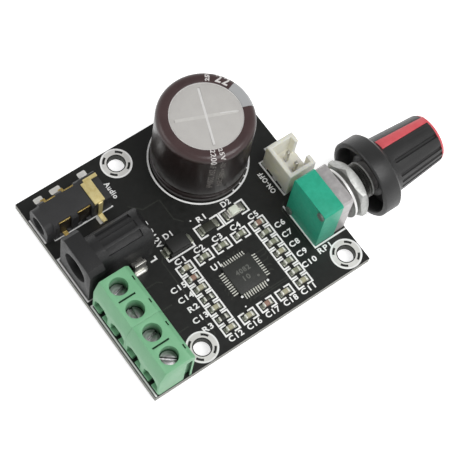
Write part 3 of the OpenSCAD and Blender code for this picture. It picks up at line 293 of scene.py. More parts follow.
# The nut, cut from bar and tumbled before plating: greyer, with a scuffed grain
scuffedSteel = grainedFinish("tumbledZincSteel", "#8b8c89", "#c9cac7", patch=0.7, gloss=(0.36, 0.54),
    relief=0.02, Metallic=0.7)
# Edges left by the blanking die and the lathe: polished, and painted white as their highlight
polishedRimHighlight = grainedFinish("polishedRimHighlight", "#e2e2df", "#fafaf8", patch=1, gloss=(0.3, 0.42), grain=0.2,
    relief=0.004, Metallic=0.3)
# Thread rolled into the bushing: the bushing's zinc, painted dark as the thread's shade
shadedThreadZinc = grainedFinish("shadedThreadZinc", "#353533", "#6b6b68", patch=0.5, gloss=(0.25, 0.4),
    grain=0.25, Metallic=0.85)
# Stakes hammered flat over the case: dull grey-green, darkened as painted shade
shadedStake = grainedFinish("shadedHammeredStake", "#3f4f47", "#87918a", patch=0.6, gloss=(0.45, 0.6), relief=0.03,
    Metallic=0.4)
# Laser mark on the chip's epoxy: a shade paler than the epoxy
laserMark = grainedFinish("laserMarkedEpoxy", "#4a4b47", "#6d6e69", patch=0.4, gloss=(0.6, 0.75),
    grain=0.18, relief=0.006)
# Laminate inside the drilled mounting holes: the cut laminate painted dark as the holes' shade, fibrous
shadedHoleLaminate = grainedFinish("shadedHoleLaminate", "#2b2d29", "#53564f", patch=0.5, gloss=(0.55, 0.75),
    grain=0.2, relief=0.02)
# ABS knob, moulded with a fine matt etch: dark grey, soft highlights
greyAbs = grainedFinish("mattGreyAbs", "#1c1c1c", "#2a2a2a", patch=3, gloss=(0.36, 0.5), relief=0.012)
# Red ABS insert, moulded smooth
redAbs = grainedFinish("redAbs", "#cf4850", "#e0656b", patch=2, gloss=(0.35, 0.45), grain=0.4, relief=0.006)
# Natural nylon: milky cream, light sinks into its thin walls
naturalNylon = grainedFinish("naturalNylon", "#dedccf", "#f0eee4", patch=2, gloss=(0.36, 0.48), grain=0.4,
    relief=0.006, Subsurface_Weight=0.7, Subsurface_Radius=(1.6 * mm, 1.5 * mm, 1.1 * mm),
    Subsurface_Scale=1.0)
# The diode's epoxy, moulded smooth and black
blackEpoxy = grainedFinish("blackEpoxy", "#161615", "#232322", patch=1.4, gloss=(0.45, 0.6), grain=0.25,
    relief=0.008)
# Filled epoxy of a transfer-moulded package: matt charcoal, faintly sparkling
chipEpoxy = grainedFinish("filledEpoxy", "#262725", "#343532", patch=1, gloss=(0.5, 0.66), grain=0.18)
# Thick-film resistor: dark olive overglaze, fired smooth
darkGlaze = grainedFinish("oliveOverglaze", "#24251f", "#3c3d34", patch=0.6, gloss=(0.3, 0.42),
    relief=0.005)
# Scored aluminium of the vent lines: matt, and painted bright as the scores' highlight
scoredAluminiumHighlight = grainedFinish("scoredAluminiumHighlight", "#d8d6d4", "#f0efed", patch=0.8, gloss=(0.4, 0.5),
    grain=0.2, relief=0.006, Metallic=0.3)
# The shallow score beside them, pressed but not cut: painted a shade paler than the can's end, as its sheen
paleAluminium = grainedFinish("pressedAluminiumSheen", "#c9c7c3", "#dddbd7", patch=0.9, gloss=(0.45, 0.58),
    grain=0.25, relief=0.006, Metallic=0.35)
# Grey marking ink on the film's side, darker than the same ink on the top
stampInk = grainedFinish("stampedGreyInk", "#57514e", "#8a8582", patch=0.5, gloss=(0.45, 0.6), grain=0.15,
    relief=0.002)
# The same ink on the film's turned-in top, paler than on the side
topRingInk = grainedFinish("topRingStampInk", "#b5b0ae", "#efecea", patch=0.5, gloss=(0.45, 0.6), grain=0.15,
    relief=0.002)
# Levelled tin on the bare lands: even and satin
levelledTin = grainedFinish("levelledTin", "#d6d5d1", "#efeeea", patch=1.2, gloss=(0.35, 0.5), grain=0.5,
    relief=0.004, Metallic=0.25)
# Lamp carrier: white-filled resin
whiteResin = grainedFinish("whiteFilledResin", "#dcd9cc", "#efece2", patch=0.7, gloss=(0.4, 0.55),
    relief=0.004)
# Lamp lens: cast clear resin with a breath of yellow-green from the die below
clearResin = grainedFinish("castClearResin", "#dfe6d0", "#fafcf2", patch=0.8, gloss=(0.08, 0.16), grain=0.5,
    relief=0.004, IOR=1.52, Transmission_Weight=0.12)


# Glass laminate where the board was cut: pale resin with the weave's layers showing as lines
def makeLaminate():
    material, tree, place = newFinish("cutGlassLaminate")
    layers = addNode(tree, "ShaderNodeTexWave", {"Vector": place, "Scale": 1 / (0.2 * mm) / math.tau,
        "Distortion": 2.0, "Detail": 2.0}, wave_type="BANDS", bands_direction="Z").outputs["Fac"]
    fibre = noise(tree, place, 0.15)["Fac"]
    return endFinish(material, tree, blend(tree, layers, "#6e6e69", "#b3b3ad"), fibre, (0.55, 0.85), 0.02)


# Shrunk PVC film: brown gloss that follows the can, paler from the shoulder up, with a
# grey polarity stripe printed on one side
sleeveLook = {"brown": "#1b1413", "brownPale": "#2a1f1e", "shoulderFilm": "#3c2e2e", "shoulderFilmPale": "#4e3c3c",
    "shoulder": 1.3, "stripe": "#a8a9aa", "stripeHalf": 18.5}


def makeSleeveFilm():
    material, tree, place = newFinish("shrunkFilm", IOR=1.42, Coat_Weight=0.12, Coat_Roughness=0.12)
    low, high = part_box("capacitor_sleeve")
    middle = (low + high) / 2
    about = addNode(tree, "ShaderNodeMapping", {"Vector": place, "Location": (-middle.x, -middle.y, 0)})
    parts = addNode(tree, "ShaderNodeSeparateXYZ", {"Vector": about}).outputs
    angle = calc(tree, "ARCTAN2", parts["Y"], parts["X"])
    away = calc(tree, "ABSOLUTE", angle)
    inside = calc(tree, "LESS_THAN", away, math.radians(sleeveLook["stripeHalf"]))
    cloud = noise(tree, place, 3, 3.0)["Fac"]
    film = blend(tree, cloud, sleeveLook["brown"], sleeveLook["brownPale"])
    shoulderFilm = blend(tree, cloud, sleeveLook["shoulderFilm"], sleeveLook["shoulderFilmPale"])
    shoulderSpan = (high.z - sleeveLook["shoulder"] * mm, high.z - 0.3 * mm)
    film = blend(tree, remap(tree, parts["Z"], shoulderSpan, (0.0, 1.0)), film, shoulderFilm)
    pull = addNode(tree, "ShaderNodeMapping", {"Vector": place, "Scale": (1, 1, 0.35)})
    ripple = noise(tree, pull, 1.4)["Fac"]
    return endFinish(material, tree, blend(tree, inside, film, sleeveLook["stripe"]), ripple, (0.24, 0.38),
        0.03)


# Barium titanate chips, fired: most are olive cream, some grey green, a few brown, each one even in itself
chipGrid = {"middle": (26.5, 10.05), "pitch": (4.05, 2.26), "columns": 5, "rows": 7}


def makeChipCeramic():
    material, tree, place = newFinish("firedChipCeramic")
    middle = onBoard(*chipGrid["middle"])
    pitch = (chipGrid["pitch"][0] * mm, chipGrid["pitch"][1] * mm, 1.0)
    start = (-middle.x + 10.5 * pitch[0], -middle.y + 10.5 * pitch[1], 0)
    shifted = addNode(tree, "ShaderNodeMapping", {"Vector": place, "Location": start})
    cell = addNode(tree, "ShaderNodeVectorMath", {0: shifted, 1: pitch}, operation="SNAP")
    draw = addNode(tree, "ShaderNodeTexWhiteNoise", {"Vector": cell}, noise_dimensions="3D")
    shades = addNode(tree, "ShaderNodeValToRGB", {"Fac": draw.outputs["Value"]})
    shades.color_ramp.interpolation = "CONSTANT"
    shades.color_ramp.elements[0].color = linearColour("#a8a48a")
    shades.color_ramp.elements[1].position = 0.8
    shades.color_ramp.elements[1].color = linearColour("#977667")
    shades.color_ramp.elements.new(0.45).color = linearColour("#878a76")
    speck = noise(tree, place, 0.2)
    colour = blend(tree, 0.25, shades.outputs["Color"], speck["Color"], blend_type="SOFT_LIGHT")
    return endFinish(material, tree, colour, speck["Fac"], (0.4, 0.6))


cutLaminate = makeLaminate()
shrunkFilm = makeSleeveFilm()
chipCeramic = makeChipCeramic()
print("finishes ready")


# Pieces

def newPiece(name, mesh, body="board", replaced=()):
    piece = bpy.data.objects.new(name, mesh)
    scene.collection.objects.link(piece)
    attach(piece, body)
    if replaced:
        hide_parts(*replaced)


# A form as a mesh; with an angle its faces are smooth and the edges past the angle stay sharp
def meshFrom(form, name, finishes=(), sharp=None):
    if sharp:
        for face in form.faces:
            face.smooth = True
    mesh = bpy.data.meshes.new(name)
    form.to_mesh(mesh)
    form.free()
    if sharp:
        mesh.set_sharp_from_angle(angle=math.radians(sharp))
    for finish in finishes:
        mesh.materials.append(finish)
    return mesh


# Joins rings of points, each to the next and the last to the first
def joinRings(form, rings):
    for a, b in zip(rings, rings[1:] + rings[:1]):
        for i in range(len(a)):
            j = (i + 1) % len(a)
            form.faces.new((a[i], b[i], b[j], a[j]))
    bmesh.ops.recalc_face_normals(form, faces=form.faces)


cornerLimit = 32.0  # degrees between faces, from which an edge counts as a corner


# A CAD node's loose triangles, merged to flat faces, with a moulded or rolled radius on its edges
def softenedMesh(node, edge, finishes, limit=cornerLimit):
    form = bmesh.new()
    form.from_mesh(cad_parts[node].data)
    bmesh.ops.remove_doubles(form, verts=form.verts, dist=0.002 * mm)
    bmesh.ops.dissolve_limit(form, angle_limit=math.radians(0.8), verts=form.verts, edges=form.edges)
    bmesh.ops.recalc_face_normals(form, faces=form.faces)
    if edge > 0:
        least = math.radians(limit)
        corners = [e for e in form.edges if len(e.link_faces) == 2 and e.calc_face_angle(0.0) > least]
        bmesh.ops.bevel(form, geom=corners, offset=edge * mm, segments=2, profile=0.5, affect="EDGES",
            clamp_overlap=True)
    return meshFrom(form, node, finishes, limit)


# The moulded and stamped pieces by finish and record slot, each with its edge radius in mm
poles = (1, 2, 3, 4)
dressed = (
    (drawnAluminium, "can_aluminium", {"capacitor_can": 0.0}),
    (shrunkFilm, "sleeve_film", {"capacitor_sleeve": 0.12}),
    (bungRubber, "seal_rubber", {"capacitor_seal": 0.0}),
    (greenPolyamide, "terminal_plastic", {"terminal_housing_1": 0.1, "terminal_housing_2": 0.1}),
    (tinPlate, "tinned_metal", {"capacitor_leads": 0.0, "terminal_contacts": 0.05, "power_socket_pin": 0.05,
        "power_socket_spring": 0.05, "power_socket_switch": 0.06, "pot_terminals": 0.05, "header_pins": 0.05,
        "lamp_ends": 0.06, **{f"terminal_clamp_{pole}": 0.05 for pole in poles}}),
    (creamTin, "tinned_metal", {"chip_leads": 0.0, "small_capacitor_ends": 0.07,
        "small_resistor_ends": 0.06}),
    (dullSolder, "tinned_metal", {"lamp_resistor_ends": 0.08, "diode_leads": 0.04}),
    (blackPbt, "socket_plastic", {"power_socket_housing": 0.14}),
    (charcoalPbt, "socket_plastic", {"audio_socket_housing": 0.08}),
    (goldFlash, "contact_gold", {"audio_contact_tip": 0.05, "audio_contact_ring": 0.05,
        "audio_contact_front": 0.05, "audio_contact_rear": 0.05}),
    (brushedGold, "contact_gold", {"audio_contact_clip": 0.06}),
    (seaGreenPhenolic, "control_plastic", {"pot_case": 0.12}),
    (darkGlaze, "resistor_glaze", {"pot_track": 0.0, "small_resistors": 0.04, "lamp_resistor": 0.05}),
    (naturalNylon, "rotor_plastic", {"pot_rotor": 0.05}),
    (naturalNylon, "header_nylon", {"header_housing": 0.12}),
    (castZinc, "cast_metal", {"pot_shaft": 0.0, "pot_bushing": 0.1}),
    (zincSteel, "screw_steel", {"pot_washer": 0.08}),
    (scuffedSteel, "screw_steel", {"pot_nut": 0.1}),
    (greyAbs, "knob_plastic", {"knob_body": 0.08}),
    (redAbs, "pointer_plastic", {"knob_pointer": 0.06}),
    (chipEpoxy, "chip_moulding", {"chip_body": 0.06}),
    (blackEpoxy, "chip_moulding", {"diode_body": 0.1}),
    (chipCeramic, "capacitor_ceramic", {"small_capacitors": 0.05}),
    (whiteResin, "lamp_resin", {"lamp_base": 0.05}),
    (clearResin, "lens_resin", {"lamp_lens": 0.12}),
)
dressed = [(node, finish, slot, edge) for finish, slot, edges in dressed for node, edge in edges.items()]
# Pieces that don't ride on the board
riders = {"pot_rotor": "knob", "pot_shaft": "knob", "knob_body": "knob", "knob_pointer": "knob",
    **{f"terminal_clamp_{pole}": f"clamp_{pole}" for pole in poles}}

bushLow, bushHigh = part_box("pot_bushing")
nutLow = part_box("pot_nut")[0]
washLow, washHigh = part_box("pot_washer")
axis = (washLow + washHigh) / 2
# Thread on the bushing in mm: it runs past the CAD bushing's end, and stops short of the knob's hub
threadLook = {
    "pitch": 0.5, "ridge": 0.22, "radius": 3.28, "chamfer": 0.28, "past": 1.5, "hubGap": 0.3, "hubReach": 4.3,
    "root": 3.25, "bore": 3.06, "core": 3.27, "crest": 3.5, "crestEnd": 3.38,
}
stakeEnd = bushLow.x + 0.4 * mm
footTop = boardHigh.z + 1.2 * mm
# Where a piece shows a second finish: that finish, and which of its faces have it; the washer's rim gets a
# painted highlight, the stakes and the springs' flanks get painted shade
secondFinish = {
    "pot_washer": (polishedRimHighlight, lambda face: abs(face.normal.x) < 0.7),
    "pot_bushing": (shadedStake, lambda face: face.center.x < stakeEnd),
    "audio_contact_front": (shadedBrass, lambda face: face.normal.y < -0.6 and face.center.z > footTop),
    "audio_contact_rear": (shadedBrass, lambda face: face.normal.y < -0.6),
}
inkRoom = 0.025 * mm
canLimit = 12.0  # keeps the can's flat end from being shaded into its shoulder
for node, finish, slot, edge in dressed:
    second, chosen = secondFinish.get(node, (None, None))
    mesh = softenedMesh(node, edge, [finish, second] if second else [finish],
        canLimit if node == "capacitor_can" else cornerLimit)
    if second:
        for face in mesh.polygons:
            face.material_index = int(chosen(face))
    if node == "capacitor_sleeve":
        # The film's upper half sits lower by the ink's thickness, so that the ink stays inside the part's box
        low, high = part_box(node)
        for v in mesh.vertices:
            v.co.z -= inkRoom if v.co.z > (low.z + high.z) / 2 else 0.0
    if node == "pot_bushing":
        # The bushing's end is cut down to the root of the thread that is wound on it below
        for v in mesh.vertices:
            out = Vector((0, v.co.y - axis.y, v.co.z - axis.z))
            if v.co.x > nutLow.x and out.length > threadLook["root"] * mm:
                v.co -= out * (1 - threadLook["root"] * mm / out.length)
    newPiece(node + ".dressed", mesh, riders.get(node, "board"), [node])

screwLook = {"deep": "#b3b2b2", "pale": "#c8c7c8", "ring": 0.3, "relief": 0.001, "gloss": (0.3, 0.36)}
for pole in poles:
    node = f"terminal_screw_{pole}"
    low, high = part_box(node)
    middle = (low + high) / 2
    # Turned and zinc plated: rings from the lathe tool on the head
    steel = turnedFinish(f"turnedScrewSteel{pole}", middle, Metallic=1.0, **screwLook)
    mesh = softenedMesh(node, 0.1, [steel])
    newPiece(node + ".dressed", mesh, f"screw_{pole}", [node])
print("moulded and stamped pieces dressed:", len(dressed) + len(poles))

# Mounting rings: a tinned land, a white rim and four short mask bars on the diagonals
mountRing = {
    "holes": ((12.2, 3.1), (44.4, 3.1), (19.8, 40.9), (44.4, 40.9)),
    "hole": 1.8, "holeReach": 2.0, "land": 2.72, "bar": 2.36, "barWidth": 0.42, "barHalf": 17.0,
    "plate": 0.03,
}

# Bare board: mask on its faces, laminate where it was cut, darker laminate as painted shade inside the
# mounting holes, tin in the plated holes
mesh = softenedMesh("circuit_board", 0.0, [solderMask, cutLaminate, tinPlate, shadedHoleLaminate])
mountHoles = [onBoard(x, y) for x, y in mountRing["holes"]]
for face in mesh.polygons:
    middle = face.center
    edges = (middle.x - boardLow.x, boardHigh.x - middle.x, middle.y - boardLow.y, boardHigh.y - middle.y)
    onRim = min(edges) < 0.02 * mm
    inMount = any((middle - hole).xy.length < mountRing["holeReach"] * mm for hole in mountHoles)
    face.material_index = 0 if abs(face.normal.z) > 0.5 else 1 if onRim else 3 if inMount else 2
newPiece("circuit_board.dressed", mesh, replaced=["circuit_board"])


# Geometry Nodes

# Starts a tree with a geometry input and output and named number inputs
def newTree(name, numbers):
    tree = bpy.data.node_groups.new(name, "GeometryNodeTree")
    tree.interface.new_socket("Geometry", in_out="INPUT", socket_type="NodeSocketGeometry")
    for label in numbers:
        tree.interface.new_socket(label, in_out="INPUT", socket_type="NodeSocketFloat")
    tree.interface.new_socket("Material", in_out="INPUT", socket_type="NodeSocketMaterial")
    tree.interface.new_socket("Geometry", in_out="OUTPUT", socket_type="NodeSocketGeometry")
    return tree, addNode(tree, "NodeGroupInput").outputs


# Ends a tree in Realize Instances and Set Material
def endTree(tree, shape, given):
    real = addNode(tree, "GeometryNodeRealizeInstances", {0: shape})
    painted = addNode(tree, "GeometryNodeSetMaterial", {0: real, "Material": given["Material"]})
    addNode(tree, "NodeGroupOutput", {0: painted})


# Runs a tree on a start mesh and returns the plain mesh that it makes
def treeMesh(name, tree, start, finish, numbers, smooth=False):
    carrier = bpy.data.objects.new(name + "Start", start)
    scene.collection.objects.link(carrier)
    modifier = carrier.modifiers.new("tree", "NODES")
    modifier.node_group = tree
    for item in tree.interface.items_tree:
        if item.in_out == "INPUT" and item.name in numbers:
            modifier[item.identifier] = numbers[item.name]
        elif item.in_out == "INPUT" and item.name == "Material":
            modifier[item.identifier] = finish
    carrier.update_tag()
    graph = bpy.context.evaluated_depsgraph_get()
    mesh = bpy.data.meshes.new_from_object(carrier.evaluated_get(graph))
    carrier.modifiers.remove(modifier)
    bpy.data.objects.remove(carrier)
    form = bmesh.new()
    form.from_mesh(mesh)
    bmesh.ops.remove_doubles(form, verts=form.verts, dist=0.0005 * mm)
    bmesh.ops.recalc_face_normals(form, faces=form.faces)
    for face in form.faces:
        face.smooth = smooth
    form.to_mesh(mesh)
    form.free()
    mesh.name = name
    return mesh


# Flat strokes along the edges of a start mesh, widened at its corners by the mitre stored on its points
strokeTree, given = newTree("printedStroke", ("Width", "Thickness"))
mitre = addNode(strokeTree, "GeometryNodeInputNamedAttribute", {"Name": "mitre"}, data_type="FLOAT")
path = addNode(strokeTree, "GeometryNodeMeshToCurve", {0: given["Geometry"]})
level = addNode(strokeTree, "GeometryNodeSetCurveNormal", {0: path}, mode="Z_UP")
section = addNode(strokeTree, "GeometryNodeCurvePrimitiveQuadrilateral",
    {"Width": given["Width"], "Height": given["Thickness"]})
swept = addNode(strokeTree, "GeometryNodeCurveToMesh", {"Curve": level, "Profile Curve": section,
    "Fill Caps": True, "Scale": mitre})
endTree(strokeTree, swept, given)

# A concave solder cone at each point, standing along -Z under the board
coneTree, given = newTree("solderCone", ("Pad Radius", "Pin Radius", "Height"))
drop = calc(coneTree, "MULTIPLY", given["Height"], -1.0)
tip = addNode(coneTree, "ShaderNodeCombineXYZ", {"Z": drop})
stem = addNode(coneTree, "GeometryNodeCurvePrimitiveLine", {"Start": (0, 0, 0), "End": tip})
steps = addNode(coneTree, "GeometryNodeResampleCurve", {0: stem, "Count": 8})
along = addNode(coneTree, "GeometryNodeSplineParameter")
left = calc(coneTree, "SUBTRACT", 1.0, along.outputs["Factor"])
bend = calc(coneTree, "POWER", left, 2.4)
spread = remap(coneTree, bend, (0.0, 1.0), (given["Pin Radius"], given["Pad Radius"]))
shaped = addNode(coneTree, "GeometryNodeSetCurveRadius", {"Curve": steps, "Radius": spread})
ring = addNode(coneTree, "GeometryNodeCurvePrimitiveCircle", {"Resolution": 16, "Radius": 1.0})
cone = addNode(coneTree, "GeometryNodeCurveToMesh", {"Curve": shaped, "Profile Curve": ring,
    "Fill Caps": True, "Scale": spread})
points = addNode(coneTree, "GeometryNodeMeshToPoints", {0: given["Geometry"]})
placed = addNode(coneTree, "GeometryNodeInstanceOnPoints", {"Points": points, "Instance": cone})
endTree(coneTree, placed, given)

# A rounded bead of solder at each point, longer one way than the other
beadTree, given = newTree("solderBead", ("Length", "Width", "Height"))
ball = addNode(beadTree, "GeometryNodeMeshUVSphere", {"Segments": 12, "Rings": 8, "Radius": 0.5})
size = addNode(beadTree, "ShaderNodeCombineXYZ", {"X": given["Length"], "Y": given["Width"],
    "Z": given["Height"]})
points = addNode(beadTree, "GeometryNodeMeshToPoints", {0: given["Geometry"]})
placed = addNode(beadTree, "GeometryNodeInstanceOnPoints", {"Points": points, "Instance": ball,
    "Scale": size})
endTree(beadTree, placed, given)

# A rolled thread: a four-sided ridge along a spiral about +Z, turned onto the shaft's axis afterwards
threadTree, given = newTree("rolledThread", ("Turns", "Radius", "Length", "Ridge"))
turns = addNode(threadTree, "GeometryNodeCurveSpiral", {"Resolution": 40, "Rotations": given["Turns"],
    "Start Radius": given["Radius"], "End Radius": given["Radius"], "Height": given["Length"]})
upright = addNode(threadTree, "GeometryNodeSetCurveNormal", {0: turns}, mode="Z_UP")
ridge = addNode(threadTree, "GeometryNodeCurvePrimitiveCircle", {"Resolution": 4, "Radius": given["Ridge"]})
thread = addNode(threadTree, "GeometryNodeCurveToMesh", {"Curve": upright, "Profile Curve": ridge,
    "Fill Caps": True})
endTree(threadTree, thread, given)


# A start mesh of loose paths, each a list of places on the board in mm
def pathMesh(name, paths, z):
    points, edges, mitres = [], [], []
    for path in paths:
        first = len(points)
        closed = math.dist(path[0], path[-1]) < 0.001
        corners = [Vector(p) for p in (path[:-1] if closed else path)]
        for i, corner in enumerate(corners):
            points.append(onBoard(corner.x, corner.y, z))
            before, after = corners[i - 1], corners[(i + 1) % len(corners)]
            bent = closed or 0 < i < len(corners) - 1
            turn = (corner - before).angle(after - corner) if bent else 0.0
            mitres.append(1 / math.cos(turn / 2))
        edges += [(i, i + 1) for i in range(first, len(points) - 1)]
        edges += [(len(points) - 1, first)] if closed else []
    mesh = bpy.data.meshes.new(name)
    mesh.from_pydata(points, edges, [])
    mesh.attributes.new("mitre", "FLOAT", "POINT").data.foreach_set("value", mitres)
    return mesh


# Printed or pressed strokes as a piece: paths and sizes in mm
def strokePiece(name, paths, z, finish, width, thickness):
    mesh = treeMesh(name, strokeTree, pathMesh(name + "Paths", paths, z), finish,
        {"Width": width * mm, "Thickness": thickness * mm})
    newPiece(name, mesh)


def pointMesh(name, points):
    mesh = bpy.data.meshes.new(name)
    mesh.from_pydata(points, [], [])
    return mesh


def arcPath(middle, radius, start, end, steps=48):
    turns = [math.radians(start + (end - start) * i / steps) for i in range(steps + 1)]
    return [(middle[0] + radius * math.cos(a), middle[1] + radius * math.sin(a)) for a in turns]


# Printed legend: outlines

legend = {
    "lineWidth": 0.32, "inkThickness": 0.02, "inkRise": 0.012,
    "partBox": (3.1, 1.84), "partBoxGap": 0.7, "hatch": 0.6,
    "capCircle": 9.36, "capMiddle": (33.1, 33.6),
    "hatchTurns": (-80, -68, -57, -46, -35),
    "ringRadius": 2.85, "ringWidth": 0.3,
}


# Two facing brackets round a small part, open in the middle of the long sides
def bracketPaths(x, y, width, height, gap):
    paths = []
    for side in (-1, 1):
        end, inner = x + side * width / 2, x + side * gap / 2
        low, high = y - height / 2, y + height / 2
        paths.append([(inner, low), (end, low), (end, high), (inner, high)])
    return paths


columns, rows = chipGrid["columns"], chipGrid["rows"]
gridColumns = [chipGrid["middle"][0] + (i - (columns - 1) / 2) * chipGrid["pitch"][0] for i in range(columns)]
gridRows = [chipGrid["middle"][1] + (j - (rows - 1) / 2) * chipGrid["pitch"][1] for j in range(rows)]


# The small parts stand on the rim of the grid
def gridPlaces():
    for i in range(columns):
        for j in range(rows):
            if i in (0, columns - 1) or j in (0, rows - 1):
                yield gridColumns[i], gridRows[j]


outlines = []
for x, y in gridPlaces():
    outlines += bracketPaths(x, y, *legend["partBox"], legend["partBoxGap"])
outlines += bracketPaths(26.62, 21.16, 5.1, 2.47, 1.9)  # lamp resistor
outlines += bracketPaths(32.18, 21.16, 5.17, 2.47, 1.9)  # lamp
outlines += [[(16.7, 22.3), (16.7, 19.6), (22.4, 19.6), (22.4, 22.3)]]  # diode
outlines += [[(0.33, 0.1), (0.33, 20.2), (1.0, 20.2)]]  # screw terminals
outlines += [[(1.4, 21.3), (0.33, 21.3), (0.33, 30.83), (15.1, 30.83)],
             [(13.9, 21.3), (15.1, 21.3), (15.1, 22.0)]]  # power socket
outlines += [[(0.33, 40.0), (0.33, 34.8), (2.1, 34.8), (2.1, 34.2), (14.5, 34.2)]]  # audio socket
outlines += [[(40.44, 17.07), (40.44, 7.2), (47.4, 7.2)]]  # volume control
outlines += [[(43.0, 18.83), (42.0, 18.83), (42.0, 26.49), (43.0, 26.49)],
             [(44.6, 27.8), (44.6, 28.3), (47.4, 28.3)]]  # switch header
outlines.append(arcPath(legend["capMiddle"], legend["capCircle"], 0, 360, 96))
for turn in legend["hatchTurns"]:  # hatch on the negative side
    outlines.append([arcPath(legend["capMiddle"], legend["capCircle"] - legend["lineWidth"] / 2 - deep,
        turn, turn, 1)[0] for deep in (0.0, legend["hatch"])])
strokePiece("legendLines", outlines, legend["inkRise"], silkInk, legend["lineWidth"],
    legend["inkThickness"])


# Flat ring with a little thickness
def ringMesh(name, rings, z, thickness, finish, steps=64):
    form = bmesh.new()
    for middle, inner, outer in rings:
        loops = []
        for radius, level in ((inner, z), (outer, z), (outer, z - thickness), (inner, z - thickness)):
            circle = arcPath(middle, radius, 0, 360, steps)[:-1]
            loops.append([form.verts.new(onBoard(x, y, level)) for x, y in circle])
        joinRings(form, loops)
    return meshFrom(form, name, [finish])


lands = ringMesh("mountLands", [(p, mountRing["hole"], mountRing["land"]) for p in mountRing["holes"]],
    mountRing["plate"], mountRing["plate"] + 0.01, levelledTin)
newPiece("mountLands", lands)
rims = [arcPath(p, legend["ringRadius"], 0, 360, 64) for p in mountRing["holes"]]
strokePiece("mountRims", rims, mountRing["plate"], silkInk, legend["ringWidth"], 0.03)
bars = [arcPath(p, mountRing["bar"], turn - mountRing["barHalf"], turn + mountRing["barHalf"], 8)
    for p in mountRing["holes"] for turn in (45, 135, 225, 315)]
strokePiece("mountBars", bars, mountRing["plate"] + 0.01, solderMask, mountRing["barWidth"], 0.03)
print("legend lines and mounting rings ready")


# Lettering: own plain part numbers, all of it in one mesh
lettering = {"height": 1.08, "bold": 0.044, "rise": 0.011, "ink": 0.01, "capsShare": 0.72, "spacing": 1.16}


# Words as a flat mesh about the origin, with a cap height in mm and, where given, a length
def wordMesh(text, height, length=None, bold=lettering["bold"]):
    curve = bpy.data.curves.new("mark", "FONT")
    curve.body = text
    curve.size = height / lettering["capsShare"] * mm
    curve.offset = bold * mm
    curve.extrude = lettering["ink"] * mm
    curve.space_character = lettering["spacing"]
    curve.align_x, curve.align_y = "CENTER", "CENTER"
    curve.resolution_u = 3
    carrier = bpy.data.objects.new("mark", curve)
    scene.collection.objects.link(carrier)
    bpy.context.view_layer.update()
    flat = bpy.data.meshes.new_from_object(carrier.evaluated_get(bpy.context.evaluated_depsgraph_get()))
    bpy.data.objects.remove(carrier)
    if length:
        wide = max(v.co.x for v in flat.vertices) - min(v.co.x for v in flat.vertices)
        flat.transform(Matrix.Diagonal((length * mm / wide, 1, 1, 1)))
    return flat


def letterMesh(name, marks, level, finish):
    form = bmesh.new()
    for text, x, y, turn, height, length in marks:
        flat = wordMesh(text, height, length)
        flat.transform(Matrix.Translation(onBoard(x, y, level + lettering["rise"]))
            @ Matrix.Rotation(math.radians(turn), 4, "Z"))
        form.from_mesh(flat)
    return meshFrom(form, name, [finish])


marks = []
for text, y in zip(("R3", "C13", "R2", "C14", "C15"), gridRows[1:]):
    marks.append((text, gridColumns[0] - 3.25, y - 0.1, 0, lettering["height"], 1.05 * len(text)))
for text, y in zip(("C10", "C9", "C8", "C7", "C6"), gridRows[1:]):
    marks.append((text, gridColumns[-1] + 3.2, y, 0, lettering["height"], 1.05 * len(text)))
for text, x in zip(("C1", "C2", "C3", "C4", "C5"), gridColumns):
    marks.append((text, x + 0.1, 18.6, 0, lettering["height"], 2.1))
for text, x in zip(("C12", "C16", "C17", "C18", "C11"), gridColumns):
    marks.append((text, x, 1.45, 0, lettering["height"], 3.0))
marks += [("R1", 26.5, 23.35, 0, 1.1, 1.75), ("D2", 31.9, 23.35, 0, 1.1, 1.9),
    ("D1", 19.5, 23.9, 0, 1.1, 1.75), ("U1", 23.3, 14.15, 0, 1.15, 1.85), ("RP1", 41.9, 6.15, 0, 1.1, 2.8),
    ("Audio", 15.95, 36.9, -90, 1.05, 3.6), ("DC12V", 17.05, 25.6, -90, 1.3, 5.8),
    ("ON-OFF", 40.8, 22.5, 90, 1.0, 4.7)]
newPiece("lettering", letterMesh("lettering", marks, 0.0, silkInk))

# Round marks: corners of the chip, its first lead and two test points
dots = {"chipCorner": ((23.67, 6.85), (29.43, 6.9)), "cornerRadius": 0.25,
    "testPoint": ((24.5, 24.0), (23.1, 5.0)), "testRadius": 0.16,
    "firstLead": (28.3, 8.4), "leadRadius": 0.24, "pinhole": 0.002}
rings = [(p, dots["pinhole"], dots["cornerRadius"]) for p in dots["chipCorner"]]
rings += [(p, dots["pinhole"], dots["testRadius"]) for p in dots["testPoint"]]
newPiece("roundMarks", ringMesh("roundMarks", rings, 0.022, 0.02, silkInk, 20))
chipTop = (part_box("chip_body")[1].z - boardHigh.z) / mm
rings = [(dots["firstLead"], dots["pinhole"], dots["leadRadius"])]
mark = ringMesh("firstLeadMark", rings, chipTop + 0.006, 0.008, laserMark, 24)
newPiece("firstLeadMark", mark)
mark = letterMesh("chipMarks", [("4082", 26.5, 10.7, 0, 0.95, 3.0), ("10", 26.2, 9.2, 0, 0.95, 1.4)],
    chipTop, laserMark)
newPiece("chipMarks", mark)
print("lettering ready")


# Copper under the mask, pads and solder

copper = {"width": 0.24, "landStart": 0.2, "landEnd": 1.02, "landWidth": 0.19, "jog": 0.4, "leads": 10,
    "leadPitch": 0.5, "straight": 0.35, "fanStart": 0.5, "fanStep": 0.16}
chipLow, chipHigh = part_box("chip_body")
chipHalf = (chipHigh.x - chipLow.x) / 2 / mm
tracks, leadPads = [], []


# Turns a path about the chip by quarters and moves it to the chip's place
def besideChip(path, quarter):
    turned = [Matrix.Rotation(math.radians(90 * quarter), 2) @ Vector(p) for p in path]
    return [(chipGrid["middle"][0] + p.x, chipGrid["middle"][1] + p.y) for p in turned]


